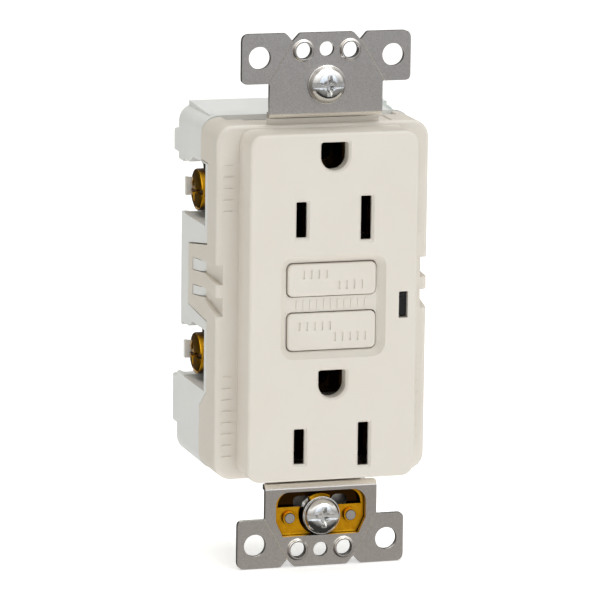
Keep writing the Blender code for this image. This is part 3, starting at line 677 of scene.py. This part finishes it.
def front_cover():
    def shoulder(inset):
        return rounded(CASE_HALF_X - inset, COVER_HALF_Z - inset, CASE_RADIUS - inset * 0.6)

    def face(inset):
        return rounded(FACE_HALF[0] - inset, FACE_HALF[1] - inset, FACE_RADIUS - inset * 0.6)

    skirt = round_fronted(shoulder, SHOULDER, SKIRT_END, SHOULDER_ROUNDING)
    joined = [round_fronted(face, FACE_FRONT, SHOULDER + 0.9, FACE_ROUNDING)]
    for side in (-1, 1):
        wall, reach_z = mirrored(side, CASE_HALF_X - WALL, CASE_HALF_X), (-5.0, 12.0)
        joined.append(box(wall, (SKIRT_BAY - 2, TONGUE_END), reach_z))
    for end in (-1, 1):
        rib = mirrored(end, COVER_HALF_Z - 1, LEG_INSIDE_Z - GAP)
        joined.append(box((-STRAP_HALF_X, STRAP_HALF_X), (SHOULDER + 0.9, WEB_Y - 0.8), rib))
    raised = (SHOULDER - 0.2, SHOULDER + 0.3)
    marks = []
    for side, count, z in ((-1, 5, 22.0), (-1, 8, -22.0), (1, 8, 20.0), (1, 8, -20.0)):
        marks += tick_row(count, 2.2, (side * LEGEND_X, z), (0.5, 1.9), raised, False)
    strip_z = (TEST_Z[0] + RESET_Z[1]) / 2
    marks += tick_row(11, 1.35, (0, strip_z), (0.35, 1.6), (DISH_FLOOR - 0.18, DISH_FLOOR + 0.2))
    cuts = face_cuts() + pockets() + cover_skirt_cuts()
    return piece("front_cover_shell", "front_cover", "case", "almond", skirt, joined, cuts, 0.14, marks)


def button(node, z, bars, flange_front):
    """A cap with soft edges, a flange that keeps it in and two short rows of sunk bars."""
    centre = (0, (z[0] + z[1]) / 2)
    half = (BUTTON_HALF_X, (z[1] - z[0]) / 2)

    def cap(inset):
        return rounded(half[0] - inset, half[1] - inset, 1.05 - inset * 0.6, centre)

    front = round_fronted(cap, BUTTON_FRONT, flange_front + 0.3, 0.35)
    joined = [prism(rounded(half[0] + 0.8, half[1], 1.0, centre), flange_front, flange_front + 0.9)]
    if node == "test_button":
        stem = box((-1.3, 1.3), (-2.6, 9.9), (4.4, 6.0))
        joined.append(stem)
    sunk = (BUTTON_FRONT - 0.3, BUTTON_FRONT + 0.2)
    rows = tick_row(bars, 1.5, (-3.4, centre[1] + 1.1), (0.42, 1.7), sunk)
    rows += tick_row(bars, 1.5, (3.6, centre[1] - 1.1), (0.42, 1.7), sunk)
    return piece(node + "_cap", node, node, "almond", front, joined, engraved=rows)


# ---------------------------------------------------------------- rear housing


def rear_interior():
    waist = BAY_FLOOR_X - WALL
    below = BAY_HALF_Z + WALL
    above = BAY_HALF_Z + BAY_RISE + 1.0
    side = [(INNER_X, -INNER_Z)]
    for centre in sorted(BAY_Z):
        side += [(INNER_X, centre - below), (waist, centre - below)]
        side += [(waist, centre + above), (INNER_X, centre + above)]
    side.append((INNER_X, INNER_Z))
    outline = side + [(-x, z) for x, z in reversed(side)]
    return prism(outline, REAR_FRONT - 3, REAR_BACK - WALL)


def rear_bays():
    """Four terminal bays, each with two wiring notches, a screw hole and a terminal slot."""
    cuts = []
    for side in (-1, 1):
        for centre in BAY_Z:
            mouth = [
                (REAR_FRONT + 1.6, centre - BAY_HALF_Z),
                (BAY_BACK - 1.2, centre - BAY_HALF_Z),
                (BAY_BACK, centre - BAY_HALF_Z + 1.2),
                (BAY_BACK, centre + BAY_HALF_Z),
                (BAY_BACK - 0.4, centre + BAY_HALF_Z + 0.4),
                (BAY_BACK - 4.4, centre + BAY_HALF_Z + 0.4),
                (BAY_BACK - 7.2, centre + BAY_HALF_Z + BAY_RISE),
                (REAR_FRONT + 1.6, centre + BAY_HALF_Z + BAY_RISE),
            ]
            cuts.append(prism(mouth, *mirrored(side, BAY_FLOOR_X, CASE_HALF_X + 1), "X"))
            for offset in (-NOTCH_ABOVE_SCREW, NOTCH_ABOVE_SCREW):
                notch = rounded(4.2, 1.6, 1.5, (side * 20.8, centre + offset))
                cuts.append(prism(notch, BAY_BACK - 1, REAR_STEP + 1))
                funnel = ((BAY_BACK - 0.2, 1.5), (REAR_BACK + 0.2, 2.1), (REAR_STEP + 1, 2.1))
                cuts.append(loft([(y, circle(r, (side * 18.6, centre + offset))) for y, r in funnel]))
            post_x = mirrored(side, POST_X, CASE_HALF_X + 1)
            cuts.append(box(post_x, (BAY_BACK - 1, REAR_STEP + 1), (centre - 3.4, centre + 3.4)))
            through = mirrored(side, BAY_FLOOR_X - WALL - 1, BAY_FLOOR_X + 1)
            cuts.append(rod(2.5, *through, (SCREW_Y, centre), "X", 32))
            slot_y = (PLATE_FOOT_Y[0] - GAP, PLATE_FOOT_Y[1] + GAP)
            cuts.append(box(through, slot_y, (centre - 2.8, centre + 2.8)))
    return cuts


def rear_tongue_relief(rim_x):
    """Lowers each side for the cover's tongue, leaving two ramped snap hooks."""
    low, high = REAR_FRONT - 1, TONGUE_END + GAP
    edge = 0.15
    hooks = [window_outline(back, front, edge) for back, front in zip(WINDOWS_BACK, WINDOWS_FRONT)]
    start, end = hooks[0][0][0], hooks[0][1][0]
    bottoms = [tongue_edge(TONGUE_BOTTOM, y) - GAP for y in (low, start, end, high)]
    tops = [tongue_edge(TONGUE_TOP, y) + GAP for y in (low, start, end, high)]
    first, second = hooks
    outlines = [
        [(low, bottoms[0]), (start, bottoms[1]), (start, tops[1]), (low, tops[0])],
        [(end, bottoms[2]), (high, bottoms[3]), (high, tops[3]), (end, tops[2])],
        [first[3], first[2], (end, tops[2]), (start, tops[1])],
        [second[3], second[2], first[1], first[0]],
        [(start, bottoms[1]), (end, bottoms[2]), second[1], second[0]],
    ]
    cuts = []
    for side in (-1, 1):
        beyond = mirrored(side, rim_x, CASE_HALF_X + 1)
        cuts += [prism(outline, *beyond, "X") for outline in outlines]
        outer, inner = side * (CASE_HALF_X + 1), side * (rim_x + 0.7)
        ramp = [(outer, start - 0.5), (outer, start + 5.5), (inner, start - 0.5)]
        cuts.append(prism(ramp, second[0][1] - 0.5, first[3][1] + 0.5, "Z"))
    return cuts


def side_band():
    """The part of the housing that fills the cover's steps, seen from the side."""
    low, high = REAR_FRONT, SKIRT_END + 1
    top = BAY_STEP_TOP - GAP
    start = BAY_STEP_BOTTOM + BAY_STEP_SLOPE * (low - SKIRT_BAY) + GAP * 1.25
    return [(low, top), (high, top), (high, start + BAY_STEP_SLOPE * (high - low)), (low, start)]


def rear_joined(rim_x):
    """The front rim, the bands beside the bays, the feet and the wedge that rises over the top."""
    joined = [prism(rounded(rim_x, 32.2, 2.0), 9.8, SKIRT_END + 1)]
    joined.append(prism(side_band(), -REAR_HALF[0], REAR_HALF[0], "X"))
    for end in (-1, 1):
        behind_leg = mirrored(end, 31.0, GROOVE_Z)
        pad_x, pad_y = LEG_HALF_X - 0.1, (WEB_Y + STRAP_THICKNESS + GAP, 11.0)
        joined.append(box((-pad_x, pad_x), pad_y, behind_leg))
    for low, high in FEET_Z:
        half = ((REAR_HALF[0] - FEET_INNER_X) / 2, (high - low) / 2)
        for side in (-1, 1):
            centre = (side * (FEET_INNER_X + half[0]), (low + high) / 2)
            joined.append(prism(rounded(*half, 0.5, centre, 4), REAR_STEP - 1, FOOT))
    front, back = SKIRT_END + 1.4, REAR_STEP - 0.6
    low, high, half_x = REAR_HALF[1] - 1, REAR_HALF[1] + 0.65, 18.9
    wedge = [(front, low), (front, REAR_HALF[1]), (back, high), (back, low)]
    joined.append(prism(wedge, -half_x, half_x, "X"))
    return joined


def rear_housing():
    def shell_outline(inset):
        return rounded(REAR_HALF[0] - inset, REAR_HALF[1] - inset, CASE_RADIUS - inset * 0.6)

    sections = ((SKIRT_END + 0.2, 0), (REAR_STEP - 0.4, 0), (REAR_STEP, 0.4))
    shell = loft([(y, shell_outline(inset)) for y, inset in sections])
    rim_x = CASE_HALF_X - WALL - GAP
    beyond = (-REAR_HALF[0] - 1, REAR_HALF[0] + 1)
    removed = [rear_interior(), box(beyond, (REAR_BACK, REAR_STEP + 1), STEP_Z)]
    for hollow_z in FEET_HOLLOWS_Z:
        removed.append(box((-15.5, 15.5), (REAR_BACK - 3, REAR_STEP - WALL), hollow_z))
    removed += rear_bays() + rear_tongue_relief(rim_x)
    screw_y, screw_z = (GROUND_SCREW[0] - 4.1, GROUND_SCREW[0] + 4.4), (25.3, REAR_HALF[1] + 2)
    removed.append(box((16.7, CASE_HALF_X + 1), screw_y, screw_z))
    joined = rear_joined(rim_x)
    return piece("rear_housing_shell", "rear_housing", "case", "white", shell, joined, removed, 0.2)


# ---------------------------------------------------------------- strap and clip


def ear_outline(end):
    """One pair of ears with the notches between them, and the neck that leads to the bend."""
    half = [
        (STRAP_HALF_X, LEG_INSIDE_Z + BEND_RADIUS - 0.2),
        (STRAP_HALF_X, EAR_LOW_Z),
        (EAR_HALF_X, EAR_LOW_Z),
        (EAR_HALF_X, STRAP_HALF_Z),
        (NOTCH_X[2], STRAP_HALF_Z),
        (NOTCH_X[1], STRAP_HALF_Z - NOTCH_DEPTH),
        (NOTCH_X[0], STRAP_HALF_Z),
    ]
    radii = (0.0, 0.25, 1.1, 1.5, 0.3, 0.35, 0.3)
    made = []
    for i, point in enumerate(half):
        if radii[i] == 0.0:
            made.append(point)
            continue
        before = half[i - 1]
        after = half[i + 1] if i + 1 < len(half) else (-NOTCH_X[0], STRAP_HALF_Z)
        corner = softened([before, point, after], radii[i], 5)
        made += corner[6:12]
    outline = made + [(-x, z) for x, z in reversed(made)]
    return [(x, end * z) for x, z in outline]


def bend(end):
    """The bend from the ears' plane into the leg, swept across the strap."""
    inner = BEND_RADIUS - STRAP_THICKNESS
    centre = (BEND_RADIUS, LEG_INSIDE_Z + BEND_RADIUS)
    profile = [(0, centre[1] + 0.5)] + arc(BEND_RADIUS, centre, 2, 3, 10)
    profile += [(centre[0] + 0.5, LEG_INSIDE_Z), (centre[0] + 0.5, LEG_INSIDE_Z + STRAP_THICKNESS)]
    profile += arc(inner, centre, 3, 2, 10) + [(STRAP_THICKNESS, centre[1] + 0.5)]
    return prism([(y, end * z) for y, z in profile], -STRAP_HALF_X, STRAP_HALF_X, "X")


def collar(centre):
    """An extruded hole: a short tube drawn forward from the sheet with a soft foot and rim."""
    shape = ((0.4, 2.12), (-0.02, 2.12), (-0.08, 2.02), (-0.3, 1.96), (-0.48, 1.92), (-0.58, 1.82))
    return loft([(y, circle(radius, centre, 40)) for y, radius in shape])


def score(start, end, width=0.3, depth=0.2):
    """A V groove pressed into the strap's front between two points."""
    a, b = Vector(start), Vector(end)
    across = Vector((-(b - a).y, (b - a).x)).normalized() * width / 2

    def outline(scale):
        side = across * scale
        return [tuple(a + side), tuple(a - side), tuple(b - side), tuple(b + side)]

    return loft(((-0.1, outline(1.3)), (depth, outline(0.15))))


def clip_window(inset):
    """The lower window: large round corners above, straight chamfers below."""
    half_x, top, radius = 9.0 - inset, -36.9 - inset, 2.6
    right = [(7.6 - inset * 0.7, -45.6 + inset), (half_x, -42.6 + inset * 0.4)]
    right += arc(radius, (half_x - radius, top - radius), 0, 1, 8)
    return right + [(-x, z) for x, z in reversed(right)]


def strap_removed():
    deep = (-3, 3)
    collar_bore, ear_bore, plate_bore, tab_bore = 1.55, 2.15, 1.42, 2.3
    web_deep = (WEB_Y - 1, WEB_Y + STRAP_THICKNESS + 1)
    cuts = [box((-9.3, 9.3), web_deep, z) for z in WEB_WINDOWS_Z]
    cuts += [rod(3.0, *web_deep, (0, blades + GROUND_ABOVE_BLADES)) for blades in OUTLET_Z]
    for end in (-1, 1):
        for side in (-1, 1):
            cuts.append(rod(collar_bore, *deep, (side * COLLAR_HOLE[0], end * COLLAR_HOLE[1]), steps=40))
            cuts.append(rod(ear_bore, *deep, (side * EAR_HOLE[0], end * EAR_HOLE[1])))
        cuts.append(rod(plate_bore, *deep, (0, end * PLATE_SCREW_Z), steps=40))
    cuts.append(prism(rounded(2.9, 2.2, 2.1, (0, MOUNT_SCREW_Z)), *deep))
    cuts.append(prism(clip_window(0.0), *deep))
    cuts.append(rod(tab_bore, TAB_X[0] - 1.4, TAB_X[1] + 1.6, GROUND_SCREW, "X", 32))
    return cuts


def score_lines():
    """The lines along which the ears snap off, from each notch to the ear's inner corner."""
    lines = []
    for end in (-1, 1):
        for side in (-1, 1):
            notch = (side * NOTCH_X[1], end * (STRAP_HALF_Z - 1.5))
            lines.append(score(notch, (side * 11.4, end * EAR_LOW_Z)))
    return lines


def mounting_strap():
    """One steel strip: ears in front, legs back over the case, web inside, ground tab at the right."""
    web = box((-STRAP_HALF_X, STRAP_HALF_X), (WEB_Y, WEB_Y + STRAP_THICKNESS), (-31.5, 31.5))
    wide, leg_x = (-STRAP_HALF_X, STRAP_HALF_X), (-LEG_HALF_X, LEG_HALF_X)
    leg_end = LEG_INSIDE_Z + STRAP_THICKNESS
    joined = [box(leg_x, (WEB_Y, WEB_Y + STRAP_THICKNESS), (-leg_end, leg_end))]
    for end in (-1, 1):
        joined += [prism(ear_outline(end), 0, STRAP_THICKNESS), bend(end)]
        leg_z = mirrored(end, LEG_INSIDE_Z, leg_end)
        joined.append(box(leg_x, (BEND_RADIUS, WEB_Y + 0.5), leg_z))
        joined.append(box(wide, (BEND_RADIUS, BEND_RADIUS + 0.9), leg_z))
        joined += [collar((side * COLLAR_HOLE[0], end * COLLAR_HOLE[1])) for side in (-1, 1)]
    joined.append(box((STRAP_HALF_X - 2, TAB_X[1]), (WEB_Y, WEB_Y + STRAP_THICKNESS), TAB_Z))
    joined.append(box(TAB_X, (WEB_Y, GROUND_SCREW[0] + 3.6), TAB_Z))
    cuts, lines = strap_removed(), score_lines()
    return piece("strap_sheet", "mounting_strap", "case", "strap_steel", web, joined, cuts, 0.09, (), lines)


def arch_band(inner, outer, half_x, centre):
    """Part of a ring above a centre, no wider than the given half width."""
    made = []
    for radius, order in ((outer, 1), (inner, -1)):
        reach = math.acos(min(1.0, half_x / radius)) / (math.pi / 2)
        made += arc(radius, centre, reach, 2 - reach, 16)[::order]
    return made


def ground_clip():
    """Brass clip: two wings beside the screw, a drawn pocket above them and a raised ring behind."""
    z = -MOUNT_SCREW_Z
    low, high = CLIP_Z

    def sheet(half_x, corner, *y):
        around = [(half_x, high), (-half_x, high), (-half_x, low), (half_x, low)]
        return prism(softened(around, corner), *y)

    pocket = [(x * 0.95, height) for x, height in clip_window(0.25) if height > CLIP_WING_TOP]
    pocket += [(-8.45, CLIP_WING_TOP), (8.45, CLIP_WING_TOP)]
    removed = [prism(pocket, 0.5, 2.4), rod(4.1, 0.5, 2.4, (0, z), steps=64)]
    joined = [box((-9.4, 9.4), (1.5, 3.3), edge) for edge in ((-36.7, high), (low, -46.1))]
    joined.append(sheet(9.4, 0.5, CLIP_FLOOR_Y, 3.3))
    removed.append(rod(2.6, -1, 8, (0, z)))
    for side in (-1, 1):
        centre = (side * CLIP_RIVET[0], CLIP_RIVET[1])
        joined.append(rod(1.3, 0.42, 1.6, centre, steps=32))
        removed.append(rod(1.05, 0, 6, centre, steps=32))
        removed.append(prism(rounded(1.6, 1.15, 1.1, (0.6 + side * 3.8, -39.5)), 2.0, 4))
        tooth_z = (CLIP_WING_TOP - 0.5, CLIP_WING_TOP + 0.6)
        joined.append(box(mirrored(side, 5.7, 6.8), (1.3, 1.9), tooth_z))
    arch = [prism(arch_band(3.6, 4.05, 2.0, (0, z)), 1.0, 2.9)]
    front = sheet(9.9, 0.6, 1.3, 1.9)
    node = "ground_clip"
    return piece("ground_clip_plate", node, "case", "clip_brass", front, joined, removed, 0.05, arch)


# ---------------------------------------------------------------- screws


def threaded(radius, depth, low, high, centre, axis, steps=28):
    """A rod with a helical thread, closed at both ends."""
    rings = []
    per_turn = 8
    count = int((high - low) / THREAD_PITCH * per_turn)
    for i in range(count + 1):
        along = low + (high - low) * i / count
        fade = min(1.0, (along - low) / THREAD_PITCH, (high - along) / THREAD_PITCH)
        ring = []
        for k in range(steps):
            phase = (along / THREAD_PITCH - k / steps) % 1.0
            reach = radius - depth * (1 - fade * (1 - abs(2 * phase - 1)))
            turn = 2 * math.pi * k / steps
            a, b = reach * math.cos(turn), reach * math.sin(turn)
            ring.append(placed(centre[0] + a, centre[1] + b, along, axis))
        rings.append(ring)
    return skin(rings)


def binding_profile():
    """A thick disc with a slightly raised face, as shares of the head's height and radius."""
    return ((0, 0.97), (0.05, 1.0), (0.7, 1.0), (0.8, 0.975), (0.9, 0.8), (0.97, 0.5), (1.0, 0.2))


def domed_profile():
    """A thin flange under a dome with a rounded rim, as shares of the head's height and radius."""
    flange, dome = 0.12, 0.95
    profile = [(0, 0.97), (flange * 0.3, 1.0), (flange * 0.9, 1.0), (flange, 0.975)]
    for i in range(9):
        turn = math.pi / 2 * i / 9
        rise = flange + 0.06 + (0.9 - flange) * math.sin(turn) ** 1.1
        profile.append((rise, dome * (0.5 + 0.5 * math.cos(turn))))
    return profile + [(0.985, dome * 0.4), (1.0, dome * 0.2)]


def cross_recess(centre, top, direction, axis, size=1.0):
    """Four tapering wings and a pointed middle, as a cross-point driver leaves."""
    def diamond(scale):
        wing, waist = 2.05 * size * scale, 0.42 * size * scale
        points = []
        for quarter in range(4):
            turn = math.pi / 2 * quarter
            for reach, side in ((wing, -waist), (wing, waist), (waist * 1.5, waist * 1.5)):
                a = reach * math.cos(turn) - side * math.sin(turn)
                b = reach * math.sin(turn) + side * math.cos(turn)
                points.append((centre[0] + a, centre[1] + b))
        return points

    depths = ((-0.6, 1.12), (0.25, 1.0), (1.5, 0.42))
    return loft([(top - direction * depth, diamond(scale)) for depth, scale in depths], axis)


def combination_screw(node, body, look, centre, base, direction, head, shank, axis, washer=0.0):
    """A head with a slot and a cross recess on a threaded shank, with a washer behind it if asked."""
    radius, height = head
    top = base + direction * height
    profile = domed_profile() if axis == "Y" else binding_profile()
    rings = []
    for rise, reach in profile:
        rings.append((base + direction * height * rise, circle(radius * reach, centre, 64)))
    tip = base - direction * shank[1]
    start = base + direction * height * 0.3
    joined = [threaded(shank[0], 0.28, *sorted((tip, start)), centre, axis)]
    if washer:
        joined.append(rod(radius * 0.97, *sorted((start, base - direction * washer)), centre, axis))
    beyond, half_width, depth = radius + 0.5, 0.5, 0.75
    a, b = centre
    slot = rectangle((a - beyond, a + beyond), (b - half_width, b + half_width))
    removed = [prism(slot, *sorted((top + direction * 0.5, top - direction * depth)), axis)]
    removed.append(cross_recess(centre, top, direction, axis, radius / 3.9))
    return piece(node + "_turned", node, body, look, loft(rings, axis), (), removed, 0.05, joined)


TERMINALS = [
    (row, z, pole, side, look)
    for row, z in zip(("load", "line"), BAY_Z)
    for pole, side, look in (("hot", -1, "brass"), ("neutral", 1, "bright_steel"))
]


def all_screws():
    head, shank = (3.7, 2.3), (1.6, 20.0)
    for end, word, washer in ((1, "upper", 0.0), (-1, "lower", 1.0)):
        node = f"mounting_screw_{word}"
        centre = (0, end * MOUNT_SCREW_Z)
        combination_screw(node, node, "bright_steel", centre, -0.1, -1, head, shank, "Y", washer)
    head, shank = (4.05, 2.9), (2.0, 4.8)
    for row, z, pole, side, look in TERMINALS:
        node, body = f"terminal_screw_{row}_{pole}", f"screw_{row}_{pole}"
        combination_screw(node, body, look, (SCREW_Y, z), side * 17.0, side, head, shank, "X")
    node, head, shank = "ground_screw", (3.9, 2.1), (2.0, 6.0)
    combination_screw(node, node, "green_steel", GROUND_SCREW, 16.7, 1, head, shank, "X")


def clamp_plates():
    """Pressure plates with soft corners and a ribbed inner face."""
    low, high = PLATE_FOOT_Y[1] + GAP, BAY_BACK - GAP
    for row, z, pole, side, look in TERMINALS:
        outline = softened(rectangle((low, high), (z - 4.3, z + 5.1)), 0.7)
        plate = prism(outline, *mirrored(side, 16.2, 16.9), "X")
        rib_x = mirrored(side, 16.08, 16.4)
        ribs = []
        for offset in (-3.7, -2.9, 2.9, 3.7):
            rib_z = (z + offset - 0.2, z + offset + 0.2)
            ribs.append(box(rib_x, (low + 0.2, high - 0.2), rib_z))
        hole = rod(2.2, *mirrored(side, 15.0, 18.0), (SCREW_Y, z), "X", 40)
        node, body = f"clamp_plate_{row}_{pole}", f"clamp_{row}_{pole}"
        piece(node + "_pressed", node, body, look, plate, ribs, [hole], 0.08)


def reset_spring():
    """The coil behind the reset button."""
    radius, wire, turns, steps = 2.1, 0.3, 6, 24
    start, end = -1.1, SPRING_FOOT
    centre_z = (RESET_Z[0] + RESET_Z[1]) / 2
    rings = []
    for i in range(turns * steps + 1):
        share = i / (turns * steps)
        turn = 2 * math.pi * turns * share
        out = Vector((math.cos(turn), 0, math.sin(turn)))
        hub = Vector((0, start + wire + (end - start - 2 * wire) * share, centre_z))
        section = circle(wire, steps=10)
        rings.append([hub + out * (radius + across) + Vector((0, along, 0)) for across, along in section])
    made = piece("reset_spring_coil", "reset_spring", "reset_button", "bright_steel", skin(rings))
    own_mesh(made)


# ---------------------------------------------------------------- nodes kept from the CAD


def finish_kept_nodes():
    """Gives each CAD node that stays visible its material, and a fine edge."""
    slots = {entry["node"]: entry["material_slot"] for entry in frame["record"]["subparts"]}
    for name, node in frame["nodes"].items():
        if node.hide_render:
            continue
        finish_surface(node, "contact_brass" if name.startswith("ground_contact") else slots[name])
        low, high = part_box(name)
        add_fine_edge(node, min(0.12 * MM, min(high - low) * 0.12), 40)


# ---------------------------------------------------------------- stage, light and camera

# Degrees, metres and millimetres of focal length; the shift is in shares of the picture's width.
AZIMUTH = -17.03
ELEVATION = 10.9
ROLL = 0.74
DISTANCE = 0.9216
LENS = 290.9
SHIFT = (-0.03947, 0.00246)


def camera():
    """A long lens from the left and a little above, turned slightly about its axis."""
    data = bpy.data.cameras.new("camera")
    data.lens = LENS
    data.sensor_width = 36
    data.shift_x, data.shift_y = SHIFT
    data.clip_start, data.clip_end = 0.05, 20
    made = bpy.data.objects.new("camera", data)
    place = Matrix.Translation((0, EAR_PLANE * MM, 0))
    place @= Matrix.Rotation(math.radians(AZIMUTH), 4, "Z")
    place @= Matrix.Rotation(math.radians(90 - ELEVATION), 4, "X")
    place @= Matrix.Rotation(math.radians(ROLL), 4, "Z")
    made.matrix_world = place @ Matrix.Translation((0, 0, DISTANCE))
    bpy.context.scene.collection.objects.link(made)
    bpy.context.scene.camera = made


def softbox(name, location, size, power, colour=(1, 1, 1)):
    """A rectangular lamp that faces the receptacle's middle."""
    data = bpy.data.lights.new(name, "AREA")
    data.shape = "RECTANGLE"
    data.size, data.size_y = size
    data.energy = power
    data.color = colour
    made = bpy.data.objects.new(name, data)
    made.location = location
    made.rotation_mode = "QUATERNION"
    made.rotation_quaternion = (-Vector(location)).to_track_quat("-Z", "Y")
    bpy.context.scene.collection.objects.link(made)


def reflected_studio(nodes):
    """What shiny surfaces mirror: a bright ceiling, grey walls and darkness behind the receptacle."""
    direction = nodes.split(nodes.output("ShaderNodeTexCoord", "Generated"))
    height = nodes.node("ShaderNodeValToRGB")
    stops = height.color_ramp.elements
    stops[0].position, stops[0].color = 0.0, (0.34, 0.33, 0.32, 1)
    stops[1].position, stops[1].color = 0.62, (1.4, 1.4, 1.4, 1)
    stops.new(0.15).color = (0.66, 0.65, 0.63, 1)
    nodes.link(direction["Z"], height.inputs["Fac"])
    light = nodes.node("ShaderNodeBackground")
    nodes.link(height.outputs["Color"], light.inputs["Color"])
    nodes.link(nodes.ranged(direction["Y"], 1.0, 0.09, 0.15, 0.5), light.inputs["Strength"])
    return light.outputs["Background"]


def studio_world():
    """White to the camera, an even soft light to matt surfaces, banded to shiny ones."""
    world = bpy.data.worlds.new("studio")
    world.use_nodes = True
    nodes = Nodes(world.node_tree)
    seen = nodes.node("ShaderNodeBackground", Color=(1, 1, 1, 1), Strength=1.0)
    soft = nodes.node("ShaderNodeBackground", Color=(1.0, 0.975, 0.88, 1), Strength=0.40)
    path = nodes.node("ShaderNodeLightPath").outputs
    lighting = nodes.either(path["Is Glossy Ray"], soft.outputs["Background"], reflected_studio(nodes))
    surface = nodes.either(path["Is Camera Ray"], lighting, seen.outputs["Background"])
    nodes.link(surface, nodes.tree.nodes["World Output"].inputs["Surface"])
    bpy.context.scene.world = world


def floor_sheen(nodes):
    """How bright the floor looks in shiny metal: pale at grazing angles, dark right below and behind."""
    ray = nodes.split(nodes.output("ShaderNodeNewGeometry", "Incoming"))
    grazing = nodes.ranged(ray["Z"], 0.72, 0.04, 0.15, 0.55)
    front = nodes.ranged(ray["Y"], 0.14, 1.0, -0.5, -0.15)
    away = nodes.node("ShaderNodeVectorMath")
    away.operation = "LENGTH"
    nodes.link(nodes.place(), away.inputs[0])
    near = nodes.ranged(away.outputs["Value"], 1.0, 0.55, 0.03, 0.4)
    return nodes.calculated("MULTIPLY", nodes.calculated("MULTIPLY", grazing, front), near)


def floor():
    """A wide pale disc just under the strap, evenly lit to the camera."""
    bm = bmesh.new()
    bmesh.ops.create_circle(bm, cap_ends=True, segments=96, radius=4.0)
    mesh = bpy.data.meshes.new("floor")
    bm.to_mesh(mesh)
    bm.free()
    made = bpy.data.objects.new("floor", mesh)
    made.location.z = -(STRAP_HALF_Z + 0.1) * MM
    glow = {"Emission Color": (1, 1, 1, 1), "Emission Strength": 0.45}
    plain = {"Base Color": (0.93, 0.93, 0.93, 1), "Roughness": 0.7}
    material, nodes, shader = new_material("pale_floor", **plain, **glow)
    mirrored_floor = nodes.node("ShaderNodeEmission", Color=(1.0, 0.97, 0.93, 1))
    nodes.link(floor_sheen(nodes), mirrored_floor.inputs["Strength"])
    glossy = nodes.output("ShaderNodeLightPath", "Is Glossy Ray")
    surface = nodes.either(glossy, shader.outputs["BSDF"], mirrored_floor.outputs["Emission"])
    nodes.link(surface, nodes.tree.nodes["Material Output"].inputs["Surface"])
    mesh.materials.append(material)
    bpy.context.scene.collection.objects.link(made)


def studio():
    studio_world()
    floor()
    softbox("key", (0.30, -0.55, 0.85), (0.6, 0.6), 3.2, (0.95, 0.97, 1.0))
    softbox("fill", (0.2, -1.1, 0.1), (0.8, 0.8), 1.6, (0.67, 0.80, 1.0))
    softbox("overhead", (0.0, 0.25, 0.9), (0.8, 0.8), 4.6)
    bpy.context.scene.view_settings.view_transform = "Standard"
    camera()


def build():
    front_cover()
    button("test_button", TEST_Z, 4, -3.3)
    button("reset_button", RESET_Z, 5, -2.3)
    rear_housing()
    mounting_strap()
    ground_clip()
    all_screws()
    clamp_plates()
    reset_spring()
    finish_kept_nodes()
    studio()


build()
